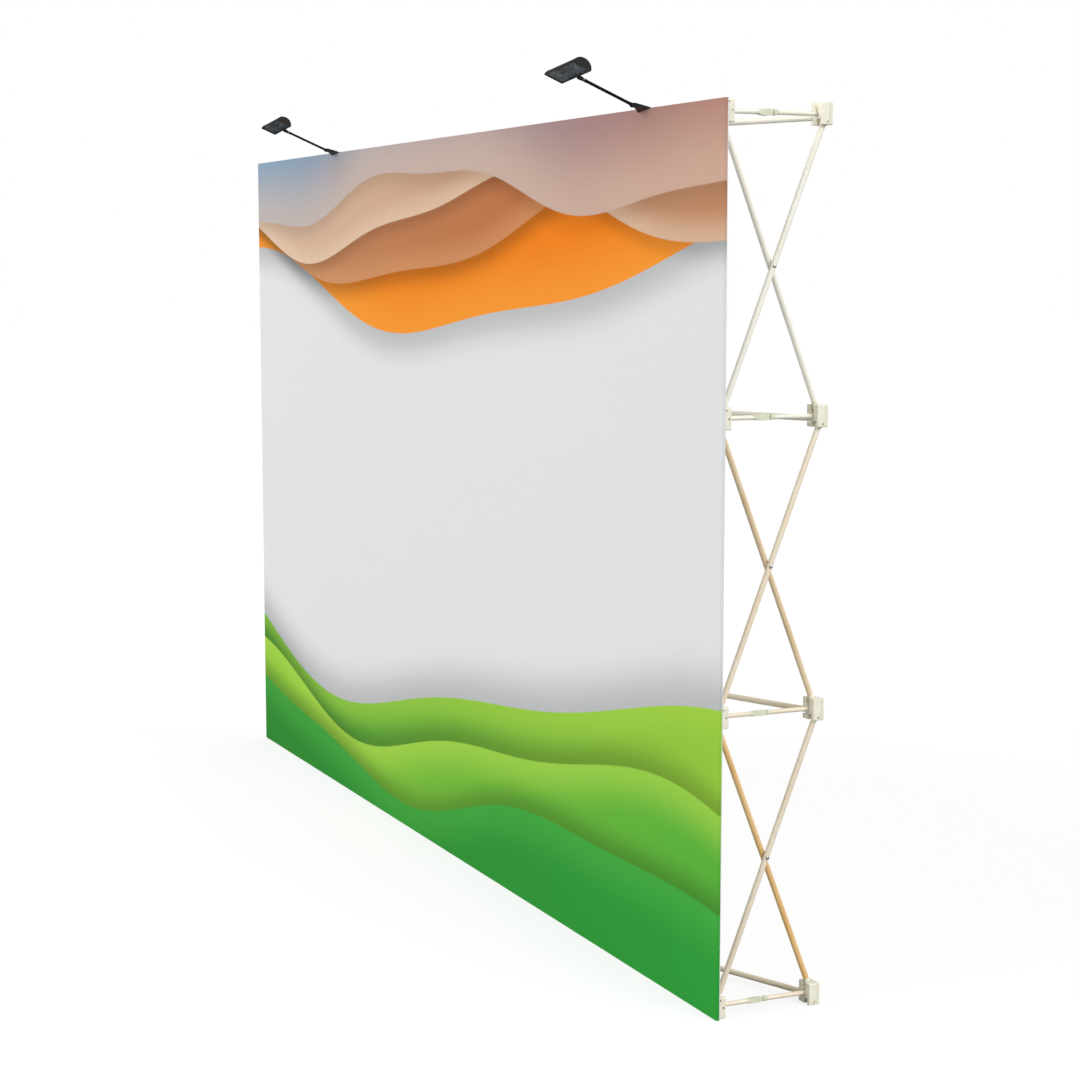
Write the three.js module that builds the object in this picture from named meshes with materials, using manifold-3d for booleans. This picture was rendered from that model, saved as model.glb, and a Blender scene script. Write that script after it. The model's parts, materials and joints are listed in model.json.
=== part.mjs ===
// Straight fabric pop-up display wall, five bays wide and three bays high.
// Millimetres. X runs along the wall, the printed face looks towards -Y, and +Z is up.
// The scissor frame stands opened out, with every locking arm closed.
import * as THREE from 'three';
import { mergeVertices } from 'three/addons/utils/BufferGeometryUtils.js';
import Module from 'manifold-3d';

const wasm = await Module();
wasm.setup();

// Fabric panel
const panelWidth = 3800;
const panelHeight = 2290;
const panelThickness = 2;
const panelFloorGap = 1.5;
const panelOverhang = 12; // fabric past the outer hubs at each end

// Frame grid
const bayColumns = 5;
const bayRows = 3;
const frameDepth = 275; // front hub centre to rear hub centre

// Hubs
const hubWidth = 53;
const hubHeight = 56;
const hubDepth = 31;
const hubChamfer = 3;
const padWidth = 34; // hook-and-loop pad that holds the fabric
const padHeight = 38;
const padThickness = 1.5;
const pinWall = 7.5; // hub edge to the axis of a pivot pin
const pinRadius = 2.5;
const pinHold = 2; // pin length held by the wall at each side of a slot

// Scissor tubes and their rivets
const tubeDiameter = 15;
const tubePast = 1.5; // plain tube end past its pin
const crossingGap = 1; // daylight between two crossing tubes
const rivetRadius = 3;
const rivetHeadRadius = 5;
const rivetHeadHeight = 2;

// Locking arms: a fork on the front hub's arm takes the tongue on the rear hub's arm
const strutDiameter = 12;
const strutPinInset = 6.5; // inner hub face to the arm's pin
const strutJointShare = 0.44; // of the depth, from the front hub to the middle of the fork
const forkLength = 32;
const forkHeight = 18;
const forkWidth = 14;
const forkRootLength = 6;
const forkTipGap = 3;
const tongueThickness = 6;
const tongueHeight = 16;
const tongueSideGap = 0.4;
const tongueEndGap = 1;

// Lamps
const lampPlaceShares = [0.387, -0.254]; // of the panel's width, from its middle
const lampGripsFrontTube = [false, true];
const footWidth = 70;
const footLap = 5; // foot in front of the fabric, below its top edge
const footRoll = 7; // degrees of its wide edge against the fabric's, as photographed
const footApexWidth = 15;
const footApexHeight = 11;
const footReach = 26;
const footRise = 7;
const barWidth = 14;
const barThickness = 5;
const barTail = 16; // bar past the gripped tube's axis
const kneeRadius = 6;
const kneeReach = 6; // foot's apex to the arm's hinge axis
const kneePinRadius = 2;
const eyeThickness = 5;
const eyeNeckLength = 10;
const armTilt = 23; // degrees above level, as photographed
const armLength = 165; // hinge axis to hinge axis
const armDiameter = 8;
const ferruleDiameter = 9;
const ferruleLength = 8;
const wristRadius = 4.6;
const wristWidth = 9.6;
const wristPinRadius = 1.5;
const wristNeckLength = 11;
const headRoll = 8; // degrees about the arm, as photographed
const lugThickness = 4.4;
const hoodLength = 158;
const hoodWidth = 55;
const hoodHeight = 24;
const hoodWall = 2;
const hoodSetback = 7; // wrist axis to the hood's rear edge
const hoodDrop = 4; // wrist axis to the plane of the hood's mouth
const reflectorGap = 0.5;
const reflectorWall = 1.2;
const glassInset = 0.6;
const glassThickness = 3;
const clipWall = 4;
const clipLength = 24;
const clipRoof = 3; // clip above the bar
const screwRadius = 3;
const knobRadius = 9;
const knobLobeDepth = 1.2;
const knobLobes = 5;
const knobThickness = 8;
const knobStandoff = 2;

// Shared
const runningGap = 0.3;
const cutOverrun = 5;
const fineSides = 12;
const plainSides = 8;
const pinSides = 8;
const rivetSides = 4;

// Places that follow from the sizes
const pitchX = (panelWidth - hubWidth - 2 * panelOverhang) / bayColumns;
const pitchZ = (panelHeight - hubHeight) / bayRows;
const tubeRadius = tubeDiameter / 2;
const tubeOffset = (tubeDiameter + crossingGap) / 2;
const slotHalf = tubeRadius + runningGap;
const pinReach = hubWidth / 2 - pinWall;
const pinRise = hubHeight / 2 - pinWall;
const strutRadius = strutDiameter / 2;
const strutSlotHalf = strutRadius + runningGap;
const strutPinY = hubDepth / 2 - strutPinInset;
const panelBack = -hubDepth / 2 - padThickness - runningGap;
const panelFront = panelBack - panelThickness;
const panelTop = panelFloorGap + panelHeight;
const barBottom = panelTop + runningGap;
const barTop = barBottom + barThickness;

const columnX = (column) => (column - bayColumns / 2) * pitchX;
const rowZ = (row) => hubHeight / 2 + row * pitchZ;

// Materials
const hubPlastic = new THREE.MeshStandardMaterial({ color: 0xe9e6d2, roughness: 0.5, metalness: 0 });
const ivoryTube = new THREE.MeshStandardMaterial({ color: 0xf0eddc, roughness: 0.4, metalness: 0.1 });
const rivetSteel = new THREE.MeshStandardMaterial({ color: 0xb9b6ae, roughness: 0.35, metalness: 1 });
const printedFabric = new THREE.MeshStandardMaterial({ color: 0xe6e7e8, roughness: 0.85, metalness: 0 });
const blackPlastic = new THREE.MeshStandardMaterial({ color: 0x1b1b1c, roughness: 0.55, metalness: 0 });
const blackSteel = new THREE.MeshStandardMaterial({ color: 0x141415, roughness: 0.4, metalness: 0.4 });
const reflectorMetal = new THREE.MeshStandardMaterial({ color: 0xa9b4bb, roughness: 0.2, metalness: 1 });
const lampGlass = new THREE.MeshStandardMaterial({ color: 0xdfe6e8, roughness: 0.05, metalness: 0 });

// A closed three.js geometry as a solid that can be joined and cut
function solid(geometry) {
  const bare = new THREE.BufferGeometry();
  bare.setAttribute('position', geometry.getAttribute('position').clone());
  if (geometry.index) bare.setIndex(geometry.index.clone());
  const merged = mergeVertices(bare);
  const vertProperties = new Float32Array(merged.getAttribute('position').array);
  const triVerts = new Uint32Array(merged.index.array);
  return new wasm.Manifold(new wasm.Mesh({ numProp: 3, vertProperties, triVerts }));
}

function named(name, body, material) {
  const cut = body.getMesh();
  const geometry = new THREE.BufferGeometry();
  geometry.setAttribute('position', new THREE.BufferAttribute(cut.vertProperties, 3));
  geometry.setIndex(new THREE.BufferAttribute(cut.triVerts, 1));
  geometry.computeVertexNormals();
  const mesh = new THREE.Mesh(geometry, material);
  mesh.name = name;
  return mesh;
}

const joined = (bodies) => bodies.reduce((whole, body) => whole.add(body));
const without = (body, cuts) => cuts.reduce((rest, cut) => rest.subtract(cut), body);

function block(x0, x1, y0, y1, z0, z1) {
  const geometry = new THREE.BoxGeometry(x1 - x0, y1 - y0, z1 - z0);
  return solid(geometry.translate((x0 + x1) / 2, (y0 + y1) / 2, (z0 + z1) / 2));
}

// A round bar from one point to another
function rod(from, to, radius, sides) {
  const start = new THREE.Vector3(...from);
  const end = new THREE.Vector3(...to);
  const along = end.clone().sub(start);
  const geometry = new THREE.CylinderGeometry(radius, radius, along.length(), sides);
  const turn = new THREE.Quaternion();
  turn.setFromUnitVectors(new THREE.Vector3(0, 1, 0), along.clone().normalize());
  geometry.applyQuaternion(turn);
  const middle = start.add(end).divideScalar(2);
  return solid(geometry.translate(middle.x, middle.y, middle.z));
}

// A bar across X, through a point given by its Y and Z
const crossRod = (x0, x1, y, z, radius, sides) => rod([x0, y, z], [x1, y, z], radius, sides);

// Hub, its slots open towards +Y; a rear hub is the same part turned half round.
// The slots lie like the arms of a pinwheel, so that crossing tubes clear each other.
// The end hubs have their corners chamfered, and those inside the lattices are plain.
function chamferedHub() {
  const w = hubWidth / 2;
  const h = hubHeight / 2;
  const c = hubChamfer;
  const corners = [[c - w, -h], [w - c, -h], [w, c - h], [w, h - c], [w - c, h], [c - w, h], [-w, h - c], [-w, c - h]];
  const outline = new THREE.Shape(corners.map(([x, z]) => new THREE.Vector2(x, z)));
  const geometry = new THREE.ExtrudeGeometry(outline, { depth: hubDepth, bevelEnabled: false });
  return solid(geometry.rotateX(Math.PI / 2).translate(0, hubDepth / 2, 0));
}

function plainHub() {
  const [w, d, h] = [hubWidth / 2, hubDepth / 2, hubHeight / 2];
  return block(-w, w, -d, d, -h, h);
}

// A front hub carries the pad that the fabric sticks to
function padded(body, front) {
  if (!front) return body;
  const outer = -hubDepth / 2;
  return body.add(block(-padWidth / 2, padWidth / 2, outer - padThickness, 0, -padHeight / 2, padHeight / 2));
}

const inner = hubDepth / 2 + cutOverrun;

function uprightSlot(side) {
  const near = side * tubeOffset;
  const low = side > 0 ? pinRise - slotHalf : -hubHeight / 2 - cutOverrun;
  const high = side > 0 ? hubHeight / 2 + cutOverrun : slotHalf - pinRise;
  return block(near - slotHalf, near + slotHalf, -slotHalf, inner, low, high);
}

function levelSlot(side) {
  const height = -side * tubeOffset;
  const low = side > 0 ? pinReach - slotHalf : -hubWidth / 2 - cutOverrun;
  const high = side > 0 ? hubWidth / 2 + cutOverrun : slotHalf - pinReach;
  return block(low, high, -slotHalf, inner, height - slotHalf, height + slotHalf);
}

function strutSlot() {
  const top = hubHeight / 2 + cutOverrun;
  return block(-strutSlotHalf, strutSlotHalf, strutPinY - strutSlotHalf, inner, -strutSlotHalf, top);
}

function hubPins({ up, down, side }) {
  const grip = slotHalf + pinHold;
  const pins = [crossRod(-strutSlotHalf - pinHold, strutSlotHalf + pinHold, strutPinY, 0, pinRadius, pinSides)];
  if (up) pins.push(crossRod(tubeOffset - grip, tubeOffset + grip, 0, pinRise, pinRadius, pinSides));
  if (down) pins.push(crossRod(-tubeOffset - grip, grip - tubeOffset, 0, -pinRise, pinRadius, pinSides));
  const height = -side * tubeOffset;
  pins.push(rod([side * pinReach, 0, height - grip], [side * pinReach, 0, height + grip], pinRadius, pinSides));
  return pins;
}

// Hub at the photographed end of the wall, where each tube and arm is a piece of its own
function endHub(row, front) {
  const side = front ? -1 : 1;
  const slots = [uprightSlot(1), uprightSlot(-1), levelSlot(side), strutSlot()];
  const body = without(padded(chamferedHub(), front), slots);
  const pins = hubPins({ up: row < bayRows, down: row > 0, side });
  const name = `end_${front ? 'front' : 'rear'}_hub_${row + 1}`;
  const mesh = named(name, joined([body, ...pins]), hubPlastic);
  mesh.rotation.z = front ? 0 : Math.PI;
  mesh.position.set(columnX(bayColumns), front ? 0 : frameDepth, rowZ(row));
  return mesh;
}

// Ends of an upright tube: leaning back it starts at the front hub, leaning forward at the rear one
function uprightEnds(column, bay, leansBack) {
  const x = columnX(column) + (leansBack ? tubeOffset : -tubeOffset);
  const low = [x, leansBack ? 0 : frameDepth, rowZ(bay) + pinRise];
  const high = [x, leansBack ? frameDepth : 0, rowZ(bay + 1) - pinRise];
  return [low, high];
}

function levelEnds(bay, row, runsBack) {
  const z = rowZ(row) + (runsBack ? -tubeOffset : tubeOffset);
  const left = [columnX(bay) + pinReach, runsBack ? 0 : frameDepth, z];
  const right = [columnX(bay + 1) - pinReach, runsBack ? frameDepth : 0, z];
  return [left, right];
}

function plainTube([from, to]) {
  const start = new THREE.Vector3(...from);
  const end = new THREE.Vector3(...to);
  const past = end.clone().sub(start).setLength(tubePast);
  return rod(start.sub(past).toArray(), end.add(past).toArray(), tubeRadius, plainSides);
}

// Rivet through two crossing tubes: shank between the heads, which stand on the tubes
function rivet(centre, axis) {
  const middle = new THREE.Vector3(...centre);
  const direction = new THREE.Vector3(...axis);
  const at = (distance) => middle.clone().addScaledVector(direction, distance).toArray();
  const seat = tubeOffset + tubeRadius + runningGap;
  const end = seat + rivetHeadHeight;
  return joined([
    rod(at(-end), at(end), rivetRadius, pinSides),
    rod(at(-end), at(-seat), rivetHeadRadius, fineSides),
    rod(at(seat), at(end), rivetHeadRadius, fineSides),
  ]);
}

// The same rivet inside a joined body, as one plain bar through both tubes
function plainRivet([x, y, z], upright) {
  const end = tubeOffset + tubeRadius + runningGap + rivetHeadHeight;
  const [dx, dz] = upright ? [end, 0] : [0, end];
  return rod([x - dx, y, z - dz], [x + dx, y, z + dz], rivetHeadRadius, rivetSides);
}

const uprightCrossing = (column, bay) => [columnX(column), frameDepth / 2, (rowZ(bay) + rowZ(bay + 1)) / 2];
const levelCrossing = (bay, row) => [(columnX(bay) + columnX(bay + 1)) / 2, frameDepth / 2, rowZ(row)];

// Pair of crossing upright tubes with their rivet, behind the fabric
function uprightPair(column, bay) {
  const body = joined([
    plainTube(uprightEnds(column, bay, true)),
    plainTube(uprightEnds(column, bay, false)),
    plainRivet(uprightCrossing(column, bay), true),
  ]);
  return named(`column_${column + 1}_scissor_${bay + 1}`, body, ivoryTube);
}

// One closed locking arm, as it lies inside a lattice
function closedStrut(x, z) {
  const middle = frameDepth * strutJointShare;
  const half = forkLength / 2 + forkRootLength;
  const sleeve = [x - forkWidth / 2, x + forkWidth / 2, middle - half, middle + half];
  return joined([
    rod([x, strutPinY, z], [x, frameDepth - strutPinY, z], strutRadius, plainSides),
    block(...sleeve, z - forkHeight / 2, z + forkHeight / 2),
  ]);
}

function latticeHub(column, row, front) {
  const slots = [];
  if (row < bayRows) slots.push(uprightSlot(1));
  if (row > 0) slots.push(uprightSlot(-1));
  const body = without(padded(plainHub(), front), slots);
  const turned = front ? body : body.rotate([0, 0, 180]);
  return turned.translate([columnX(column), front ? 0 : frameDepth, rowZ(row)]);
}

// All the level tubes of one row with the hubs and locking arms that they join,
// up to the last bay's free ends, which turn on the end hubs' pins
function rowLattice(row, name) {
  const bodies = [];
  for (let column = 0; column < bayColumns; column += 1) {
    bodies.push(latticeHub(column, row, true), latticeHub(column, row, false));
    bodies.push(closedStrut(columnX(column), rowZ(row)));
    bodies.push(plainTube(levelEnds(column, row, true)), plainTube(levelEnds(column, row, false)));
    bodies.push(plainRivet(levelCrossing(column, row), false));
  }
  const bores = [true, false].map((runsBack) => {
    const [, [x, y, z]] = levelEnds(bayColumns - 1, row, runsBack);
    const reach = tubeRadius + cutOverrun;
    return rod([x, y, z - reach], [x, y, z + reach], pinRadius + runningGap, pinSides);
  });
  return named(name, without(joined(bodies), bores), ivoryTube);
}

// Upright tube of the end column, with an eye at each end and a bore for the rivet
function endTube(bay, leansBack) {
  const [low, high] = uprightEnds(bayColumns, bay, leansBack);
  const [x] = low;
  const eyes = [low, high].map(([, y, z]) => crossRod(x - tubeRadius, x + tubeRadius, y, z, tubeRadius, fineSides));
  const reach = tubeRadius + cutOverrun;
  const bore = (y, z, radius) => crossRod(x - reach, x + reach, y, z, radius + runningGap, pinSides);
  const [, middleY, middleZ] = uprightCrossing(bayColumns, bay);
  const bores = [
    bore(low[1], low[2], pinRadius),
    bore(high[1], high[2], pinRadius),
    bore(middleY, middleZ, rivetRadius),
  ];
  const body = without(joined([rod(low, high, tubeRadius, fineSides), ...eyes]), bores);
  return named(`end_tube_${bay + 1}_leaning_${leansBack ? 'back' : 'forward'}`, body, ivoryTube);
}

// Half a locking arm along +Y from its hub pin
const forkMiddle = frameDepth * strutJointShare - strutPinY;
const tongueMiddle = frameDepth * (1 - strutJointShare) - strutPinY;
const joint = forkLength / 2;
const sleeve = (from, to) => block(-forkWidth / 2, forkWidth / 2, from, to, -forkHeight / 2, forkHeight / 2);

function armShank(length) {
  const eye = crossRod(-strutRadius, strutRadius, 0, 0, strutRadius, fineSides);
  return rod([0, 0, 0], [0, length, 0], strutRadius, fineSides).add(eye);
}

const armBore = () =>
  crossRod(-strutRadius - cutOverrun, strutRadius + cutOverrun, 0, 0, pinRadius + runningGap, pinSides);

function forkArm() {
  const rootEnd = forkMiddle - joint - tongueEndGap;
  const tip = forkMiddle + joint - forkTipGap;
  const gap = tongueThickness / 2 + tongueSideGap;
  const over = forkHeight / 2 + cutOverrun;
  const mouth = block(-gap, gap, rootEnd, tip + cutOverrun, -over, over);
  const whole = armShank(rootEnd - forkRootLength / 2).add(sleeve(rootEnd - forkRootLength, tip));
  return without(whole, [mouth, armBore()]);
}

function tongueArm() {
  const shoulder = tongueMiddle - joint;
  const half = tongueThickness / 2;
  const rise = tongueHeight / 2;
  const tongue = block(-half, half, shoulder - forkRootLength / 2, tongueMiddle + joint, -rise, rise);
  const whole = joined([armShank(shoulder - forkRootLength / 2), sleeve(shoulder - forkRootLength, shoulder), tongue]);
  return without(whole, [armBore()]);
}

function lockArms(row) {
  const fork = named(`lock_fork_arm_${row + 1}`, forkArm(), hubPlastic);
  fork.position.set(columnX(bayColumns), strutPinY, rowZ(row));
  const tongue = named(`lock_tongue_arm_${row + 1}`, tongueArm(), hubPlastic);
  tongue.rotation.z = Math.PI;
  tongue.position.set(columnX(bayColumns), frameDepth - strutPinY, rowZ(row));
  return [fork, tongue];
}

function printedPanel() {
  const half = panelWidth / 2;
  return named('printed_panel', block(-half, half, panelFront, panelBack, panelFloorGap, panelTop), printedFabric);
}

// Six-sided solid between a back rectangle and a front one, each given by Y, half width and two heights
function taper(back, front) {
  const face = ({ y, half, low, high, lean }) => {
    const rise = half * lean;
    return [-half, y, low - rise, half, y, low + rise, half, y, high + rise, -half, y, high - rise];
  };
  const geometry = new THREE.BufferGeometry();
  const points = new Float32Array([...face(front), ...face(back)]);
  geometry.setAttribute('position', new THREE.BufferAttribute(points, 3));
  const quads = [[0, 1, 2, 3], [5, 4, 7, 6], [4, 5, 1, 0], [3, 2, 6, 7], [4, 0, 3, 7], [1, 5, 6, 2]];
  geometry.setIndex(quads.flatMap(([a, b, c, d]) => [a, b, c, a, c, d]));
  return solid(geometry);
}

// Where the lamp's clip takes hold: the level tube of the top row that runs behind it
function gripPlace(x, front) {
  const bay = Math.floor(x / pitchX + bayColumns / 2);
  const [left, right] = levelEnds(bay, bayRows, front);
  const share = (x - left[0]) / (right[0] - left[0]);
  const y = left[1] + share * (right[1] - left[1]);
  return { y, z: left[2], turn: Math.atan2(right[1] - left[1], right[0] - left[0]) };
}

// Foot of a lamp: a fan that laps the fabric's top edge, with the bar that runs back over it
const footBack = panelFront - runningGap;
const kneeY = footBack - footReach - kneeReach;
const kneeZ = panelTop - footLap + footRise + footApexHeight / 2;
const kneeHalf = footApexWidth / 2;

function lampFoot(name, grip) {
  const apexY = footBack - footReach;
  const lean = Math.tan(THREE.MathUtils.degToRad(footRoll));
  const fan = taper(
    { y: footBack, half: footWidth / 2, low: panelTop - footLap, high: barTop, lean },
    { y: apexY, half: kneeHalf, low: kneeZ - footApexHeight / 2, high: kneeZ + footApexHeight / 2, lean: 0 },
  );
  const bar = block(-barWidth / 2, barWidth / 2, footBack - barThickness, grip.y + barTail, barBottom, barTop);
  const neck = block(-kneeHalf, kneeHalf, kneeY, apexY + barThickness, kneeZ - kneeRadius, kneeZ + kneeRadius);
  const knuckle = crossRod(-kneeHalf, kneeHalf, kneeY, kneeZ, kneeRadius, fineSides);
  const gap = eyeThickness / 2 + runningGap;
  const eyeRoom = [
    crossRod(-gap, gap, kneeY, kneeZ, kneeRadius + runningGap, fineSides),
    block(-gap, gap, kneeY - kneeReach - cutOverrun, kneeY, kneeZ - kneeRadius - cutOverrun, kneeZ + kneeRadius),
    block(-gap, gap, kneeY - kneeReach - cutOverrun, kneeY, kneeZ, kneeZ + kneeRadius + cutOverrun),
  ];
  const topRoom = block(-gap, gap, kneeY, kneeY + kneeReach, kneeZ, kneeZ + kneeRadius + cutOverrun);
  const cut = without(joined([fan, bar, neck, knuckle]), [...eyeRoom, topRoom]);
  return named(name, cut.add(crossRod(-kneeHalf, kneeHalf, kneeY, kneeZ, kneePinRadius, pinSides)), blackPlastic);
}

// Clevis at the arm's far end, rolled about the arm with the head that it carries
function wristClevis() {
  const start = wristNeckLength - armLength;
  const rise = armDiameter / 2;
  const body = block(-wristWidth / 2, wristWidth / 2, -armLength, start + runningGap, -rise, rise);
  const knuckle = crossRod(-wristWidth / 2, wristWidth / 2, -armLength, 0, wristRadius, fineSides);
  const lugRoom = lugThickness / 2 + runningGap;
  const room = wristRadius + wristPinRadius;
  const gap = block(-lugRoom, lugRoom, -armLength - room, -armLength + room, -room, room);
  const pin = crossRod(-wristWidth / 2, wristWidth / 2, -armLength, 0, wristPinRadius, pinSides);
  return body.add(knuckle).subtract(gap).add(pin).rotate([0, -headRoll, 0]);
}

// Arm along -Y from the foot's hinge, before it is tilted
function lampArm(name) {
  const half = eyeThickness / 2;
  const neckRise = armDiameter / 2;
  const clevisStart = wristNeckLength - armLength;
  const whole = joined([
    crossRod(-half, half, 0, 0, kneeRadius - runningGap, fineSides),
    block(-half, half, -eyeNeckLength, 0, -neckRise, neckRise),
    rod([0, -kneeRadius - kneePinRadius, 0], [0, clevisStart, 0], neckRise, fineSides),
    rod([0, clevisStart + ferruleLength, 0], [0, clevisStart, 0], ferruleDiameter / 2, fineSides),
    wristClevis(),
  ]);
  const reach = half + cutOverrun;
  const bore = crossRod(-reach, reach, 0, 0, kneePinRadius + runningGap, pinSides);
  return named(name, whole.subtract(bore), blackSteel);
}

// Half of an ellipse along X, its flat side down, as wide and as high as it says
function halfRound(length, halfWidth, height, low) {
  const points = [];
  for (let step = 0; step <= fineSides; step += 1) {
    const angle = (Math.PI * step) / fineSides;
    points.push(new THREE.Vector2(halfWidth * Math.cos(angle), height * Math.sin(angle)));
  }
  if (low > 0) points.push(new THREE.Vector2(-halfWidth, -low), new THREE.Vector2(halfWidth, -low));
  const geometry = new THREE.ExtrudeGeometry(new THREE.Shape(points), { depth: length, bevelEnabled: false });
  return geometry.translate(0, 0, -length / 2).rotateX(Math.PI / 2).rotateZ(Math.PI / 2);
}

const hoodMiddleY = -hoodSetback - hoodWidth / 2;

function hoodShell(length, halfWidth, height, low) {
  const geometry = halfRound(length, halfWidth, height, low);
  return solid(geometry.translate(0, hoodMiddleY, -hoodDrop));
}

function lampHood(name) {
  const halfWidth = hoodWidth / 2;
  const shell = hoodShell(hoodLength, halfWidth, hoodHeight, 0);
  const hollow = hoodShell(hoodLength - 2 * hoodWall, halfWidth - hoodWall, hoodHeight - hoodWall, cutOverrun);
  const halfLug = lugThickness / 2;
  const lugRadius = wristRadius - runningGap;
  const lug = joined([
    crossRod(-halfLug, halfLug, 0, 0, lugRadius, fineSides),
    block(-halfLug, halfLug, -hoodSetback - hoodWall, 0, -hoodDrop, hoodDrop),
  ]);
  const bore = crossRod(-halfLug - cutOverrun, halfLug + cutOverrun, 0, 0, wristPinRadius + runningGap, pinSides);
  return named(name, without(shell.add(lug), [hollow, bore]), blackPlastic);
}

const insideHalf = hoodWidth / 2 - hoodWall;
const insideHeight = hoodHeight - hoodWall;
const insideLength = hoodLength - 2 * hoodWall;
const glassTop = glassInset + glassThickness;

function lampReflector(name) {
  const gap = reflectorGap;
  const outer = hoodShell(insideLength - 2 * gap, insideHalf - gap, insideHeight - gap, 0);
  const less = gap + reflectorWall;
  const hollow = hoodShell(insideLength - 2 * less, insideHalf - less, insideHeight - less, cutOverrun);
  const rim = glassTop + runningGap - hoodDrop;
  const room = hoodLength;
  const below = block(-room, room, hoodMiddleY - hoodWidth, hoodMiddleY + hoodWidth, rim - hoodHeight, rim);
  return named(name, without(outer, [hollow, below]), reflectorMetal);
}

function lampPane(name) {
  const narrowing = Math.sqrt(1 - (glassTop / insideHeight) ** 2);
  const half = insideHalf * narrowing - reflectorGap;
  const long = insideLength / 2 - reflectorGap;
  const low = glassInset - hoodDrop;
  const pane = block(-long, long, hoodMiddleY - half, hoodMiddleY + half, low, low + glassThickness);
  return named(name, pane, lampGlass);
}

// Clip in the tube's own frame, with X along the tube and Z from its axis: it hangs on the bar
function lampClip(name, grip) {
  const half = tubeRadius + runningGap + clipWall;
  const top = barTop + runningGap + clipRoof - grip.z;
  const body = block(-clipLength / 2, clipLength / 2, -half, half, -tubeRadius, top);
  const long = clipLength / 2 + cutOverrun;
  const reach = half + cutOverrun;
  const channelHalf = barWidth / 2 + runningGap;
  const channelLow = barBottom - runningGap - grip.z;
  const channelHigh = barTop + runningGap - grip.z;
  const channel = block(-channelHalf, channelHalf, -2 * reach, 2 * reach, channelLow, channelHigh);
  const cuts = [
    rod([-long, 0, 0], [long, 0, 0], slotHalf, fineSides),
    block(-long, long, -slotHalf, slotHalf, -tubeRadius - cutOverrun, 0),
    channel.rotate([0, 0, THREE.MathUtils.radToDeg(-grip.turn)]),
    rod([0, 0, 0], [0, reach, 0], screwRadius + runningGap, pinSides),
  ];
  return named(name, without(body, cuts), blackPlastic);
}

function clampScrew(name) {
  const points = [];
  const steps = knobLobes * 4;
  for (let step = 0; step < steps; step += 1) {
    const angle = (2 * Math.PI * step) / steps;
    const radius = knobRadius + knobLobeDepth * (Math.cos(knobLobes * angle) - 1);
    points.push(new THREE.Vector2(radius * Math.cos(angle), radius * Math.sin(angle)));
  }
  const near = slotHalf + clipWall + knobStandoff;
  const knob = new THREE.ExtrudeGeometry(new THREE.Shape(points), { depth: knobThickness, bevelEnabled: false });
  knob.rotateX(-Math.PI / 2).translate(0, near, 0);
  const shank = rod([0, slotHalf, 0], [0, near + knobThickness / 2, 0], screwRadius, pinSides);
  return named(name, solid(knob).add(shank), blackPlastic);
}

function lamp(number, x, frontTube) {
  const label = `lamp_${number}`;
  const grip = gripPlace(x, frontTube);
  const group = new THREE.Group();
  group.position.x = x;

  const clamp = new THREE.Group();
  clamp.position.set(0, grip.y, grip.z);
  clamp.rotation.z = grip.turn;
  clamp.add(lampClip(`${label}_clip`, grip), clampScrew(`${label}_clamp_screw`));

  const tilted = new THREE.Group();
  tilted.position.set(0, kneeY, kneeZ);
  tilted.rotation.x = -THREE.MathUtils.degToRad(armTilt);

  const head = new THREE.Group();
  head.position.y = -armLength;
  head.rotation.y = -THREE.MathUtils.degToRad(headRoll);
  head.add(lampHood(`${label}_hood`), lampReflector(`${label}_reflector`), lampPane(`${label}_glass`));
  tilted.add(lampArm(`${label}_arm`), head);

  group.add(lampFoot(`${label}_foot`, grip), clamp, tilted);
  return group;
}

const wall = new THREE.Group();
const rowNames = ['floor_row_lattice', 'second_row_lattice', 'third_row_lattice', 'top_row_lattice'];
rowNames.forEach((name, row) => wall.add(rowLattice(row, name)));
for (let bay = 0; bay < bayRows; bay += 1) {
  for (let column = 0; column < bayColumns; column += 1) wall.add(uprightPair(column, bay));
  wall.add(endTube(bay, true), endTube(bay, false));
  const crossing = rivet(uprightCrossing(bayColumns, bay), [1, 0, 0]);
  wall.add(named(`end_rivet_${bay + 1}`, crossing, rivetSteel));
}
for (let row = 0; row <= bayRows; row += 1) wall.add(endHub(row, true), endHub(row, false), ...lockArms(row));
wall.add(printedPanel());
lampPlaceShares.forEach((share, index) => {
  wall.add(lamp(index + 1, share * panelWidth, lampGripsFrontTube[index]));
});

// The origin is the middle of the footprint, on the floor
const extent = new THREE.Box3().setFromObject(wall);
const middle = extent.getCenter(new THREE.Vector3());
wall.position.set(-middle.x, -middle.y, -extent.min.z);

const displayWall = new THREE.Group();
displayWall.add(wall);
export default displayWall;
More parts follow.
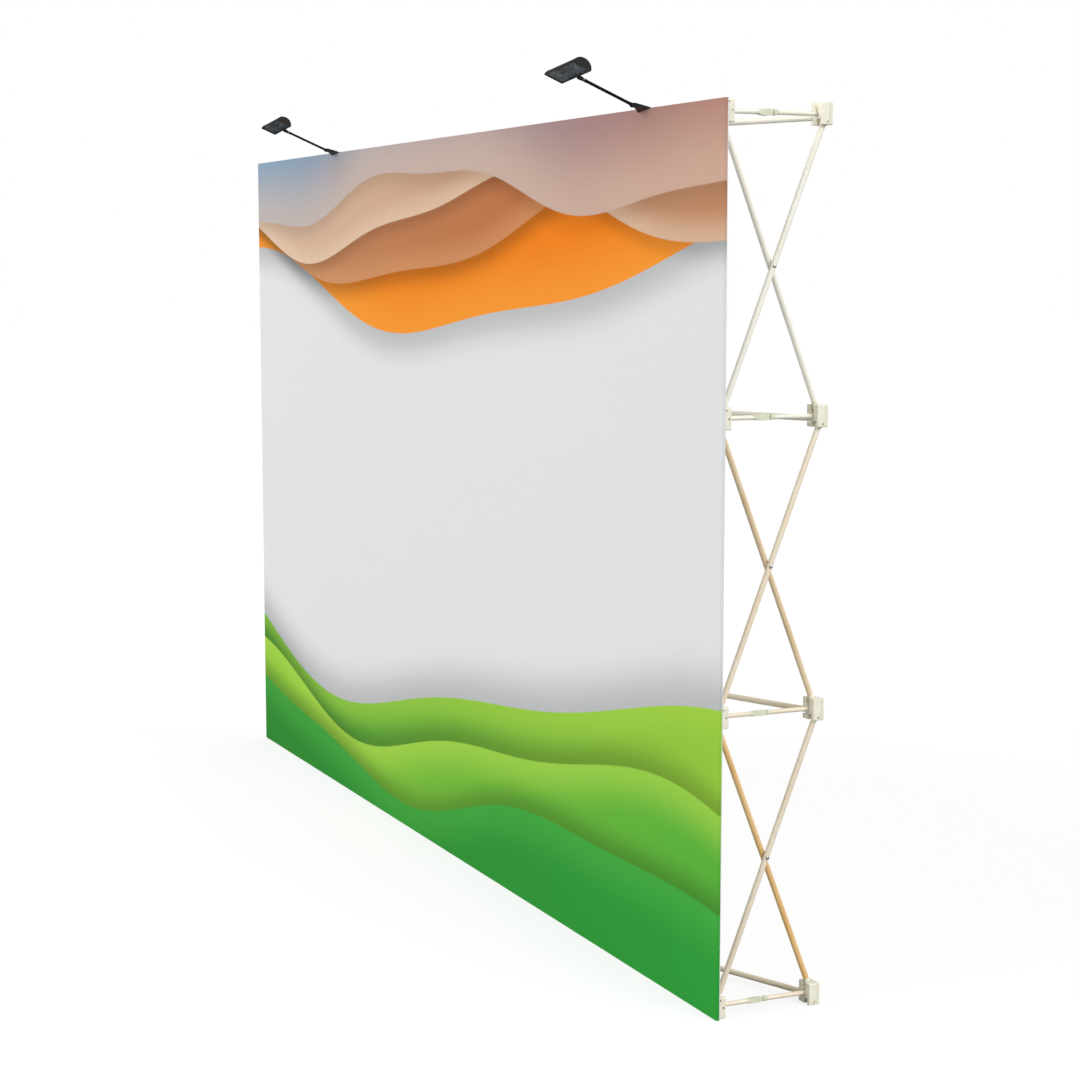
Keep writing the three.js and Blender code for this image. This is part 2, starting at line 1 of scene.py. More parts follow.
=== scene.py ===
import json
import math
import bmesh
import bpy
import numpy as np
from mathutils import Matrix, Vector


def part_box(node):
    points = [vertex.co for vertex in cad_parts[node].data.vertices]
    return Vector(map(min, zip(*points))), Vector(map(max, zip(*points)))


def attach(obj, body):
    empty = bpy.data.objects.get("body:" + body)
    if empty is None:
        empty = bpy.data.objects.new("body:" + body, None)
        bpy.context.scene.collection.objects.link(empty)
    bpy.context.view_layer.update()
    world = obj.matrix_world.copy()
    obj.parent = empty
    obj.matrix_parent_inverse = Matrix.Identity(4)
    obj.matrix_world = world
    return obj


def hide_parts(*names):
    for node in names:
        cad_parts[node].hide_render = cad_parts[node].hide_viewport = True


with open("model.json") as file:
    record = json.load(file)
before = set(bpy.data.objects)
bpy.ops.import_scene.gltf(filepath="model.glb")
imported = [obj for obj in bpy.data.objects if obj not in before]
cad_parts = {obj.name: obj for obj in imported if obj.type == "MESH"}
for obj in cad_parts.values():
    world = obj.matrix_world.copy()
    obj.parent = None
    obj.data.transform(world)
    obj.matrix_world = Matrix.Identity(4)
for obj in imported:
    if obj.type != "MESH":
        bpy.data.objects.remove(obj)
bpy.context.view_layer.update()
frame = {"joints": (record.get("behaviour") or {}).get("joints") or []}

# Pop-up display wall: a printed stretch panel on a scissor frame, with two arm floodlights.
# Lengths are millimetres, unless a note says metres, and meshOf turns them into Blender's metres.
mm = 0.001


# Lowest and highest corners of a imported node
def boxOf(node):
    return [np.array(corner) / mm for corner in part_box(node)]


# Where the frame stands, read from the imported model
hubLow, hubHigh = boxOf("end_front_hub_1")
topLow, topHigh = boxOf("end_front_hub_4")
rearLow = boxOf("end_rear_hub_1")[0]
panelLow, panelHigh = boxOf("printed_panel")
bays, storeys = 5, 3
hubSize = {"width": 53, "height": 56, "depth": 31}
frontY = hubHigh[1] - hubSize["depth"] / 2
rearY = rearLow[1] + hubSize["depth"] / 2
columnXs = np.linspace(-1, 1, bays + 1) * (hubLow[0] + hubHigh[0]) / 2
rowZs = np.linspace((hubLow[2] + hubHigh[2]) / 2, (topLow[2] + topHigh[2]) / 2, storeys + 1)
rowNames = ["floor_row", "second_row", "third_row", "top_row"]
print("frame read: hubs", columnXs.round(1), rowZs.round(1), "from", round(frontY, 1), "to", round(rearY, 1))

origin, across, rearwards, upwards = (0, 0, 0), (1, 0, 0), (0, 1, 0), (0, 0, 1)
leftwards, forwards, downwards = (-1, 0, 0), (0, -1, 0), (0, 0, -1)


# Shapes: a part is its points, its quads and its larger faces

# Loops of a rounded rectangle: at each corner, the corner's centre plus radius times (cos t, sin t).
# With both halves equal to the radius it is a circle.
def loops(halfA, halfB, radius, perCorner=6):
    t = (np.arange(4 * perCorner) + 0.5) * math.pi / 2 / perCorner
    corner = np.arange(4 * perCorner) // perCorner
    signA = np.array([1, -1, -1, 1])[corner]
    signB = np.array([1, 1, -1, -1])[corner]
    a, b, r = (np.asarray(v, float)[:, None] for v in (halfA, halfB, radius))
    r = np.minimum(r, np.minimum(a, b))
    return np.stack([signA * (a - r) + r * np.cos(t), signB * (b - r) + r * np.sin(t)], -1)


# Joins each loop of points to the next, and closes both ends
def carried(rows):
    count, around = rows.shape[:2]
    i = np.arange(count - 1)[:, None] * around
    j = np.arange(around)[None, :]
    k = (j + 1) % around
    quads = np.stack([i + j, i + k, i + around + k, i + around + j], -1).reshape(-1, 4)
    ends = [list(range(around - 1, -1, -1)), list(range((count - 1) * around, count * around))]
    return rows.reshape(-1, 3), quads, ends


# Section carried along a line: start + distance * along + A * side + B * (along x side) + drift
def lofted(start, along, side, distances, halfA, halfB, radius, perCorner=6, drift=0.0):
    a = np.asarray(along, float) / np.linalg.norm(along)
    s = np.asarray(side, float) - np.dot(side, a) * a
    s = s / np.linalg.norm(s)
    d = np.asarray(distances, float)
    flat = loops(*(np.broadcast_to(v, d.shape) for v in (halfA, halfB, radius)), perCorner)
    rows = np.asarray(start, float) + d[:, None, None] * a
    rows = rows + flat[..., :1] * s + flat[..., 1:] * np.cross(a, s)
    return carried(rows + np.broadcast_to(drift, (len(d), 3))[:, None, :])


# Profile turned about a line: start + distance * along + radius * (cos t, sin t)
def turned(start, along, profile, perCorner=6):
    d, r = np.array(profile, float).T
    side = upwards if abs(along[2]) < 0.8 * np.linalg.norm(along) else across
    return lofted(start, along, side, d, r, r, r, perCorner)


# Profile with both ends alike, from its near half
def bothEnds(near):
    return near + [(-d, r) for d, r in reversed(near)]


# Block between two corners: a rounded rectangle carried along one axis, its ends eased by quarter rounds
def block(low, high, axis=1, radius=1.0, ease=0.6, perCorner=3):
    low, high = np.array(low, float), np.array(high, float)
    middle, half = (low + high) / 2, (high - low) / 2
    b, c = (axis + 1) % 3, (axis + 2) % 3
    t = np.linspace(0, math.pi / 2, 4)
    inset = np.concatenate([ease * (1 - np.sin(t)), ease * (1 - np.cos(t))])
    near = -half[axis] + ease * (1 - np.cos(t))
    far = half[axis] - ease * (1 - np.sin(t))
    d = np.concatenate([near, far])
    r = np.maximum(radius - inset, 0.05)
    return lofted(middle, np.eye(3)[axis], np.eye(3)[b], d, half[b] - inset, half[c] - inset, r, perCorner)


# Flat plate: an outline in two axes, anticlockwise seen from the third's positive end, between two heights
def plate(outline, axis, low, high):
    flat = np.asarray(outline, float)
    rows = np.zeros((2, len(flat), 3))
    rows[:, :, (axis + 1) % 3] = flat[:, 0]
    rows[:, :, (axis + 2) % 3] = flat[:, 1]
    rows[:, :, axis] = np.array([[low], [high]])
    return carried(rows)


# Solid on a grid of boxes: every side between a full box and an empty one is a quad
def cells(xs, ys, zs, full):
    lines = [np.asarray(v, float) for v in (xs, ys, zs)]
    padded = np.pad(full, 1)
    points = np.stack(np.meshgrid(*lines, indexing="ij"), -1).reshape(-1, 3)
    number = np.arange(len(points)).reshape([len(v) for v in lines])
    quads = []
    for axis in range(3):
        order = (axis, (axis + 1) % 3, (axis + 2) % 3)
        flat = np.moveaxis(padded, order, (0, 1, 2))[:, 1:-1, 1:-1]
        grid = np.moveaxis(number, order, (0, 1, 2))
        corners = np.stack([grid[:, :-1, :-1], grid[:, 1:, :-1], grid[:, 1:, 1:], grid[:, :-1, 1:]], -1)
        outwards = flat[:-1] & ~flat[1:]
        inwards = flat[1:] & ~flat[:-1]
        quads += [corners[outwards], corners[inwards][:, ::-1]]
    used, quads = np.unique(np.concatenate(quads), return_inverse=True)
    return points[used], quads.reshape(-1, 4), []


def together(parts):
    points, quads, rings, offset = [], [], [], 0
    for p, q, r in parts:
        points.append(p)
        quads.append(np.asarray(q, int).reshape(-1, 4) + offset)
        rings += [[v + offset for v in ring] for ring in r]
        offset += len(p)
    return np.concatenate(points), np.concatenate(quads), rings


# Turn about X, Y or Z (0, 1 or 2) by an angle in degrees
def turnAbout(axis, degrees):
    b, c = (axis + 1) % 3, (axis + 2) % 3
    angle = math.radians(degrees)
    matrix = np.eye(3)
    matrix[b, b] = matrix[c, c] = math.cos(angle)
    matrix[c, b], matrix[b, c] = math.sin(angle), -math.sin(angle)
    return matrix


# Moves a part: each point p becomes turn p + shift
def moved(part, shift=origin, turn=np.eye(3)):
    points, quads, rings = part
    return points @ turn.T + np.array(shift, float), quads, rings


def repeated(part, shifts):
    return together([moved(part, shift) for shift in shifts])


def meshOf(part, name="draft"):
    points, quads, rings = part
    mesh = bpy.data.meshes.new(name)
    mesh.from_pydata((points * mm).tolist(), [], np.asarray(quads, int).tolist() + rings)
    return mesh


def partOf(mesh):
    points = np.zeros(len(mesh.vertices) * 3)
    mesh.vertices.foreach_get("co", points)
    return points.reshape(-1, 3) / mm, np.zeros((0, 4), int), [list(face.vertices) for face in mesh.polygons]


flatLimit, sharpLimit = 0.02, 0.6       # radians between faces that count as one, and that meet in an edge


# Joins flat neighbours, rounds the edges that corner() picks, and eases every other sharp edge
def eased(part, radius, corner=None, cornerRadius=3.0, steps=2):
    draft = meshOf(part)
    shape = bmesh.new()
    shape.from_mesh(draft)
    bmesh.ops.dissolve_limit(shape, angle_limit=flatLimit, verts=shape.verts[:], edges=shape.edges[:])
    if corner:
        picked = [edge for edge in shape.edges if corner(edge)]
        bmesh.ops.bevel(shape, geom=picked, offset=cornerRadius * mm, segments=4, profile=0.5, affect="EDGES")
    sharp = [edge for edge in shape.edges if edge.calc_face_angle(0) > sharpLimit]
    bmesh.ops.bevel(shape, geom=sharp, offset=radius * mm, segments=steps, profile=0.5, affect="EDGES",
                    clamp_overlap=True)
    shape.to_mesh(draft)
    shape.free()
    result = partOf(draft)
    bpy.data.meshes.remove(draft)
    return result


# Two eased plates of one outline, one on each side of X = 0
def cheekPair(outline, inner, outer, ease, steps=2):
    return [eased(plate(outline, 0, low, high), ease, steps=steps)
            for low, high in ((inner, outer), (-outer, -inner))]


# Takes the cutters out of a part
def drilled(part, cutters):
    body = bpy.data.objects.new("draft", meshOf(part))
    tool = bpy.data.objects.new("drill", meshOf(together(cutters)))
    for item in (body, tool):
        bpy.context.scene.collection.objects.link(item)
    cut = body.modifiers.new("holes", "BOOLEAN")
    cut.operation, cut.solver, cut.object = "DIFFERENCE", "EXACT", tool
    bpy.context.view_layer.update()
    done = body.evaluated_get(bpy.context.evaluated_depsgraph_get()).to_mesh()
    result = partOf(done)
    for item in (body, tool):
        bpy.data.meshes.remove(item.data)
    return result


# Finished piece: its parts joined, turned and shifted into place, on its body and for the nodes it replaces
def piece(name, parts, material, replaces=(), slot=None, body="frame", shift=origin, turn=np.eye(3),
          flat=True, sharpAngle=42):
    mesh = meshOf(moved(together(parts), shift, turn), name)
    mesh.materials.append(material)
    mesh.shade_smooth()
    mesh.set_sharp_from_angle(angle=math.radians(sharpAngle))
    made = bpy.data.objects.new(name, mesh)
    bpy.context.scene.collection.objects.link(made)
    if flat:  # keeps broad flat faces flat beside their eased edges
        made.modifiers.new("flat faces", "WEIGHTED_NORMAL").keep_sharp = True
    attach(made, body)
    if replaces:
        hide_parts(*replaces)
    return made


# Materials

def linear(code):
    channels = np.array([int(code[i:i + 2], 16) for i in (1, 3, 5)]) / 255
    channels = np.where(channels <= 0.04045, channels / 12.92, ((channels + 0.055) / 1.055) ** 2.4)
    return (*channels.tolist(), 1.0)


# Adds a node: settings by name, and inputs by socket, each a value, an output, or a node for its first output
def add(tree, kind, inputs=None, **settings):
    node = tree.nodes.new("ShaderNode" + kind)
    for key, value in settings.items():
        setattr(node, key, value)
    for key, value in (inputs or {}).items():
        if isinstance(value, bpy.types.Node):
            value = value.outputs[0]
        if isinstance(value, bpy.types.NodeSocket):
            tree.links.new(value, node.inputs[key])
        else:
            node.inputs[key].default_value = value
    return node


def newMaterial(name, **values):
    material = bpy.data.materials.new(name)
    material.use_nodes = True
    tree = material.node_tree
    shader = tree.nodes["Principled BSDF"]
    for key, value in values.items():
        shader.inputs[key.replace("_", " ")].default_value = value
    return material, tree, shader


# Finish with two nearby colours in soft patches, fine grain in the bump, and duller patches from handling.
# grain and patch are real sizes in millimetres: a noise of scale s has features about 1 / s metres across.
def mottled(name, colourA, colourB, roughness, patch, grain, grainDepth, spread=0.08, **values):
    material, tree, shader = newMaterial(name, **values)
    place = add(tree, "TexCoord").outputs["Object"]
    patches = add(tree, "TexNoise", {"Vector": place, "Scale": 1 / (patch * mm), "Detail": 3.0,
                                     "Roughness": 0.55})
    tone = add(tree, "MapRange", {"Value": patches, "From Min": 0.35, "From Max": 0.65})
    blend = add(tree, "Mix", {0: tone, 6: linear(colourA), 7: linear(colourB)}, data_type="RGBA")
    tree.links.new(blend.outputs[2], shader.inputs["Base Color"])
    dull = add(tree, "MapRange", {"Value": patches, "From Min": 0.3, "From Max": 0.7,
                                  "To Min": roughness - spread, "To Max": roughness + spread})
    tree.links.new(dull.outputs[0], shader.inputs["Roughness"])
    fine = add(tree, "TexNoise", {"Vector": place, "Scale": 1 / (grain * mm), "Detail": 2.0})
    bump = add(tree, "Bump", {"Height": fine, "Strength": 0.35, "Distance": grainDepth * mm})
    tree.links.new(bump.outputs[0], shader.inputs["Normal"])
    return material


# Tubes: drawn aluminium, powder coated ivory, satin with a faint orange peel. The cream, beige, tan and amber
# copies are the same ivory coat with a painted warm reflection, used on tubes nearer the floor
painted = {"Coat_Weight": 0.15}
tubeIvory = mottled("powder coat, ivory", "#f6f3e6", "#efecdb", 0.36, 160, 2.2, 0.05, **painted)
tubeCreamReflection = mottled("ivory powder coat, painted cream reflection", "#f2e8d3", "#ead9bd", 0.38, 190, 2.2, 0.05, **painted)
tubeBeigeReflection = mottled("ivory powder coat, painted beige reflection", "#e9dcc8", "#dfcdb2", 0.38, 190, 2.2, 0.05, **painted)
tubeTanReflection = mottled("ivory powder coat, painted tan reflection", "#e6d2b0", "#dcc096", 0.38, 170, 2.2, 0.05, **painted)
tubeAmberReflection = mottled("ivory powder coat, painted amber reflection", "#ebc68a", "#e3b470", 0.38, 170, 2.2, 0.05, **painted)
# Hubs and plugs: injection-moulded nylon, slightly greenish cream, dull with a spark-eroded grain
nylon = {"Subsurface_Weight": 0.06}
hubNylon = mottled("moulded nylon, cream", "#f2eedd", "#e9e4cf", 0.48, 45, 1.1, 0.06, **nylon)
plugNylon = mottled("moulded nylon, pale cream", "#e9e5d0", "#dedac2", 0.45, 30, 1.1, 0.05, **nylon)
armNylon = mottled("moulded nylon, greenish cream", "#e4e3cc", "#d8d7bb", 0.46, 30, 1.1, 0.05, **nylon)
# Pins and rivets: zinc-plated steel, bright but scuffed
zincSteel = mottled("zinc-plated steel", "#c9c6bd", "#aaa79f", 0.34, 6, 0.7, 0.02, Metallic=1.0)
# Hook tape on the hub faces: woven nylon with stiff hooks, matt and rough
hookTape = mottled("woven nylon hook tape", "#f1f0ea", "#dcdad1", 0.85, 5, 1.6, 0.9, 0.05, Sheen_Weight=0.3)
# Hem and its thread: white polyester binding tape, soft and matt
hemTape = mottled("woven polyester binding, white", "#e4e4e7", "#dcdce0", 0.82, 60, 1.8, 0.35, 0.05,
                  Specular_IOR_Level=0.25)
hemThread = mottled("polyester thread, white", "#ededee", "#dcdcde", 0.6, 8, 0.8, 0.1)
# Lamps: black polyamide foot, powder-coated hood and enamelled steel arm, all dull; a plated ferrule that
# glints; and inside the head satin aluminium, chalky ceramic and a dark coil
lampPlastic = mottled("moulded polyamide, black", "#0c0c0d", "#141415", 0.5, 25, 0.9, 0.05,
                      Specular_IOR_Level=0.25)
hoodCoat = mottled("powder coat, charcoal", "#151411", "#1f1b17", 0.5, 35, 1.2, 0.05, Specular_IOR_Level=0.15)
armEnamel = mottled("stoved enamel on steel, black", "#040405", "#09090a", 0.4, 40, 1.5, 0.02,
                    Specular_IOR_Level=0.1)
ferruleSteel = mottled("nickel-plated steel", "#8d9195", "#75797d", 0.28, 9, 0.8, 0.02, Metallic=1.0)
reflectorMetal = mottled("satin anodised aluminium", "#9aa7b1", "#86929b", 0.30, 60, 45, 0.15, 0.04,
                         Metallic=1.0)
ceramic = mottled("steatite ceramic, off-white", "#e7e1d2", "#d9d2c0", 0.55, 12, 0.8, 0.04)
filamentMetal = mottled("coiled tungsten", "#8a8a8a", "#777777", 0.4, 4, 0.5, 0.05, Metallic=1.0)


# Clear glass, see-through with a clean gloss and faint patches of dust, their size in millimetres. A thin
# sheet doesn't bend the view, so its index is near that of air and the gloss of real glass is in the coat
def clearGlass(name, clean, dusty, patch=17):
    material, tree, shader = newMaterial(name, Roughness=0.29, IOR=1.02, Transmission_Weight=1.0,
                                         Coat_Weight=0.2, Coat_Roughness=0.05, Coat_IOR=1.5)
    place = add(tree, "TexCoord").outputs["Object"]
    haze = add(tree, "TexNoise", {"Vector": place, "Scale": 1 / (patch * mm), "Detail": 2.0})
    tint = add(tree, "Mix", {0: haze, 6: linear(clean), 7: linear(dusty)}, data_type="RGBA")
    tree.links.new(tint.outputs[2], shader.inputs["Base Color"])
    return material


paneGlass = clearGlass("toughened glass, clear", "#d9dfe2", "#c3c9cc")
bulbGlass = clearGlass("quartz glass, clear", "#e8ecee", "#d9dddf")

# Print on the panel, in metres: flowing ribbons, drawn one over the other. A ribbon's edge is a height plus
# sine waves (height, length, phase). It fills the side given and shades from its first colour to its second
# along the wall. Its shadow and its glow say how deep and how strong they are, past its edge and inside it.
printing = {
    "width": 3.8, "height": 2.29,
    "whiteness": 0.94,        # share of the light that undyed cloth gives back
    "showThrough": 0.16,      # share of the print that shows on the cloth's back
    "field": ("#e4e5e6", "#e0e1e2"), "undyed": "#eeeeec",
    "edge": 0.002, "shadowColour": "#3c3f42", "shadowFall": 1.6,
    "knitPitch": 0.005,       # real wales, about 0.6 mm apart, wouldn't show, so they are drawn wider
    "knitShare": 0.25, "yarnPatch": 1 / 90, "bumpDepth": 0.0006,
    "ribbons": [
        {"side": 1, "height": 1.83, "waves": [(0.150, 4.6, 2.2), (0.035, 1.9, 0.4)],
         "colours": ("#f08a1c", "#ee7d12"), "shadow": (0.16, 0.34), "glow": (0.20, 0.55, "#fba53c")},
        {"side": 1, "height": 1.965, "waves": [(0.135, 4.1, 2.75), (0.030, 1.6, 1.9)],
         "colours": ("#c08a63", "#b8632a"), "shadow": (0.10, 0.45), "glow": (0.10, 0.45, "#dd9f6c")},
        {"side": 1, "height": 2.035, "waves": [(0.110, 3.3, 3.3), (0.030, 1.4, 2.2)],
         "colours": ("#d8b9a0", "#bd8763"), "shadow": (0.08, 0.30), "glow": (0.09, 0.45, "#ecd3b8")},
        {"side": 1, "height": 2.120, "waves": [(0.085, 2.9, 4.1), (0.020, 1.1, 0.7)],
         "colours": ("#7fa3bd", "#a9766a"), "shadow": (0.09, 0.22), "glow": (0.30, 0.55, "#e3c4ab")},
        {"side": -1, "height": 0.560, "waves": [(0.200, 5.4, 3.5), (0.045, 2.2, 2.6)],
         "colours": ("#3f9f38", "#93c63d"), "shadow": (0.20, 0.36), "glow": (0.12, 0.50, "#a9d548")},
        {"side": -1, "height": 0.385, "waves": [(0.150, 4.4, 3.1), (0.035, 1.7, 0.8)],
         "colours": ("#8cc63c", "#57b039"), "shadow": (0.12, 0.40), "glow": (0.14, 0.55, "#b4dc50")},
        {"side": -1, "height": 0.200, "waves": [(0.110, 3.6, 2.3), (0.025, 1.5, 4.0)],
         "colours": ("#2f8a31", "#2c9a38"), "shadow": (0.12, 0.42), "glow": (0.16, 0.50, "#4db345")},
    ],
}


# Dye on the cloth: its linear colour times the share of the light that the cloth gives back
def dyed(code):
    return (*(printing["whiteness"] * value for value in linear(code)[:3]), 1.0)


# One side of the cloth: the print over undyed cloth, as strongly as show says
def printedCloth(name, show):
    material, tree, shader = newMaterial(name, Roughness=0.85, Specular_IOR_Level=0.12)
    uv = add(tree, "SeparateXYZ", {0: add(tree, "UVMap", uv_map="print")})
    x = add(tree, "Math", {0: uv.outputs[0], 1: printing["width"]}, operation="MULTIPLY")
    z = add(tree, "Math", {0: uv.outputs[1], 1: printing["height"]}, operation="MULTIPLY")
    first, second = (dyed(code) for code in printing["field"])
    shadow = linear(printing["shadowColour"])
    colour = add(tree, "Mix", {0: uv.outputs[0], 6: first, 7: second}, data_type="RGBA").outputs[2]
    for ribbon in printing["ribbons"]:
        edge = ribbon["height"]
        for height, length, phase in ribbon["waves"]:
            angle = add(tree, "Math", {0: x, 1: 2 * math.pi / length, 2: phase}, operation="MULTIPLY_ADD")
            wave = add(tree, "Math", {0: angle}, operation="SINE")
            edge = add(tree, "Math", {0: wave, 1: height, 2: edge}, operation="MULTIPLY_ADD")
        gap = add(tree, "Math", {0: z, 1: edge}, operation="SUBTRACT")
        inside = add(tree, "Math", {0: gap, 1: ribbon["side"]}, operation="MULTIPLY")
        reach, dark = ribbon["shadow"]
        shade = add(tree, "MapRange", {"Value": inside, "From Min": -reach, "From Max": 0.0, "To Max": 1.0},
                    interpolation_type="SMOOTHSTEP")
        shade = add(tree, "Math", {0: shade, 1: printing["shadowFall"]}, operation="POWER")
        shade = add(tree, "Math", {0: shade, 1: dark}, operation="MULTIPLY")
        darker = add(tree, "Mix", {0: 1.0, 6: colour, 7: shadow}, data_type="RGBA", blend_type="MULTIPLY")
        colour = add(tree, "Mix", {0: shade, 6: colour, 7: darker.outputs[2]}, data_type="RGBA").outputs[2]
        first, second = (dyed(code) for code in ribbon["colours"])
        body = add(tree, "Mix", {0: uv.outputs[0], 6: first, 7: second}, data_type="RGBA").outputs[2]
        reach, strength, tint = ribbon["glow"]
        lift = add(tree, "MapRange", {"Value": inside, "From Max": reach, "To Min": strength, "To Max": 0.0},
                   interpolation_type="SMOOTHSTEP")
        body = add(tree, "Mix", {0: lift, 6: body, 7: dyed(tint)}, data_type="RGBA").outputs[2]
        soft = printing["edge"]
        mask = add(tree, "MapRange", {"Value": inside, "From Min": -soft, "From Max": soft},
                   interpolation_type="SMOOTHSTEP")
        colour = add(tree, "Mix", {0: mask, 6: colour, 7: body}, data_type="RGBA").outputs[2]
    shown = add(tree, "Mix", {0: show, 6: dyed(printing["undyed"]), 7: colour}, data_type="RGBA")
    tree.links.new(shown.outputs[2], shader.inputs["Base Color"])
    # Knit: sin(wale) * sin(course), over a slower unevenness of the yarn
    rows = []
    for way in (x, z):
        angle = add(tree, "Math", {0: way, 1: 2 * math.pi / printing["knitPitch"]}, operation="MULTIPLY")
        rows.append(add(tree, "Math", {0: angle}, operation="SINE"))
    knit = add(tree, "Math", {0: rows[0], 1: rows[1]}, operation="MULTIPLY")
    place = add(tree, "TexCoord").outputs["Object"]
    yarn = add(tree, "TexNoise", {"Vector": place, "Scale": 1 / printing["yarnPatch"], "Detail": 3.0})
    height = add(tree, "Math", {0: knit, 1: printing["knitShare"], 2: yarn}, operation="MULTIPLY_ADD")
    bump = add(tree, "Bump", {"Height": height, "Strength": 0.3, "Distance": printing["bumpDepth"]})
    tree.links.new(bump.outputs[0], shader.inputs["Normal"])
    return material


print("materials ready")

# Stretched panel
panel = {
    "thickness": 0.8, "cellsX": 228, "cellsZ": 138, "edgeInset": 0.3, "sideInset": 0.1,
    "relief": 0.7,            # how far the cloth lies off a flat plane between the hubs
    "reliefFade": 60.0,       # from each end, over which it settles flat
    "slowX": (0.0021, 0.8), "slowZ": (0.0017, 0.3),       # radians per millimetre and phase of the slow wave
    "cornerRadius": 2.4, "returnDepth": 8.2,        # cloth turned back at each end
    "tapeWidth": 9.0, "tapeThick": 1.1, "tapeLap": 0.7, "endTapeWidth": 3.2, "endTapeDepth": 2.8, "sunk": 0.1,
    "stitchPitch": 9.0, "stitchLength": 5.5, "stitchHalf": 0.3, "stitchInset": 3.0, "stitchFrom": (8.0, 5.0),
}
panelX = panelHigh[0]
panelZ0, panelZ1 = panelLow[2], panelHigh[2]
panelBack = panelHigh[1]
clothX = panelX - panel["sideInset"]
clothFront = panelBack - panel["thickness"]


# How far the cloth stands proud: relief * r(x, z), squared sines that vanish at the hubs plus a slow wave
def clothRelief(x, z):
    acrossX = np.sin(np.pi * (x - columnXs[0]) / (columnXs[1] - columnXs[0])) ** 2
    acrossZ = np.sin(np.pi * (z - rowZs[0]) / (rowZs[1] - rowZs[0])) ** 2
    (rateX, phaseX), (rateZ, phaseZ) = panel["slowX"], panel["slowZ"]
    slow = 0.5 + 0.5 * np.sin(rateX * x + phaseX) * np.sin(rateZ * z + phaseZ)
    fade = np.clip((clothX - np.abs(x)) / panel["reliefFade"], 0, 1)
    return panel["relief"] * (0.35 * acrossX + 0.3 * acrossZ + 0.35 * slow) * fade * fade * (3 - 2 * fade)


# Cloth in plan: along the face, round a quarter circle at each end and back along the return.
# A row holds x, the distance behind the face, and the outward normal's x and y.
def clothPath():
    r = panel["cornerRadius"]
    angle = np.linspace(0, math.pi / 2, 7)
    back = np.linspace(r, panel["returnDepth"], 5)[1:]
    x = np.concatenate([clothX - r + r * np.sin(angle), np.full(4, clothX)])
    behind = np.concatenate([r - r * np.cos(angle), back])
    normalX = np.concatenate([np.sin(angle), np.ones(4)])
    normalY = np.concatenate([-np.cos(angle), np.zeros(4)])
    end = np.stack([x, behind, normalX, normalY], -1)
    face = np.linspace(r - clothX, clothX - r, panel["cellsX"] + 1)[1:-1]
    middle = np.stack([face, 0 * face, 0 * face, 0 * face - 1], -1)
    return np.concatenate([end[::-1] * np.array([-1, 1, -1, 1]), middle, end])


# Cloth: the path carried up the wall, its back one thickness inside its face. The last of what it returns is
# the distance round the cloth of each point, for the print, with nothing at the wall's middle.
def clothPanel():
    path, inset, thick = clothPath(), panel["edgeInset"], panel["thickness"]
    zs = np.linspace(panelZ0 + inset, panelZ1 - inset, panel["cellsZ"] + 1)
    along = np.concatenate([[0], np.cumsum(np.hypot(*np.diff(path[:, :2], axis=0).T))])
    along = along - along[-1] / 2
    x, z = np.meshgrid(path[:, 0], zs, indexing="ij")
    y = clothFront + path[:, 1:2] - clothRelief(x, z)
    faces = [np.stack([x, y, z], -1), np.stack([x - thick * path[:, 2:3], y - thick * path[:, 3:4], z], -1)]
    points = np.concatenate([face.reshape(-1, 3) for face in faces])
    nx, nz = x.shape
    number = np.arange(nx * nz).reshape(nx, nz)
    forward = np.stack([number[:-1, :-1], number[1:, :-1], number[1:, 1:], number[:-1, 1:]], -1)
    forward = forward.reshape(-1, 4)
    rearward = forward[:, ::-1] + nx * nz
    rim = np.concatenate([number[:-1, 0], number[-1, :-1], number[:0:-1, -1], number[0, :0:-1]])
    after = np.roll(rim, -1)
    sides = np.stack([rim, rim + nx * nz, after + nx * nz, after], -1)
    quads = np.concatenate([forward, rearward, sides])
    return (points, quads, []), np.tile(np.repeat(along, nz), 2), len(forward)


clothShape, clothAlong, printedFaces = clothPanel()
cloth = piece("printed_cloth", [clothShape], printedCloth("dye-printed stretch polyester", 1.0),
              replaces=["printed_panel"], slot="panel_fabric", flat=False)
cloth.data.materials.append(printedCloth("back of the printed polyester", printing["showThrough"]))
behind = np.arange(len(cloth.data.polygons)) >= printedFaces
cloth.data.polygons.foreach_set("material_index", behind.astype(int))
layer = cloth.data.uv_layers.new(name="print")
corners = np.zeros(len(cloth.data.loops), int)
cloth.data.loops.foreach_get("vertex_index", corners)
uv = np.stack([clothAlong / (2 * panelX) + 0.5, (clothShape[0][:, 2] - panelZ0) / (panelZ1 - panelZ0)], -1)
layer.data.foreach_set("uv", uv[corners].ravel())


# Hem: a tape sewn flat behind the level edges, and a bound edge on each end's return
def hemTapes():
    wide, thick, lap, sunk = (panel[key] for key in ("tapeWidth", "tapeThick", "tapeLap", "sunk"))
    endWide, endDeep = panel["endTapeWidth"], panel["endTapeDepth"]
    back, start = panelBack - sunk, clothFront + panel["returnDepth"] - 0.4
    parts = []
    for z0, z1 in ((panelZ0, panelZ0 + wide), (panelZ1 - wide, panelZ1)):
        parts.append(block((-clothX + endWide, back, z0), (clothX - endWide, back + thick, z1), 0, 0.4, 0.3))
        for x in (-clothX + lap, clothX - lap - thick):
            parts.append(block((x, back, z0), (x + thick, start + 0.5, z1), 1, 0.4, 0.3))
    for x in (-clothX - sunk / 2, clothX + sunk / 2 - endWide):
        parts.append(block((x, start, panelZ0), (x + endWide, start + endDeep, panelZ1), 2, 1.2, 0.5, 4))
    return parts


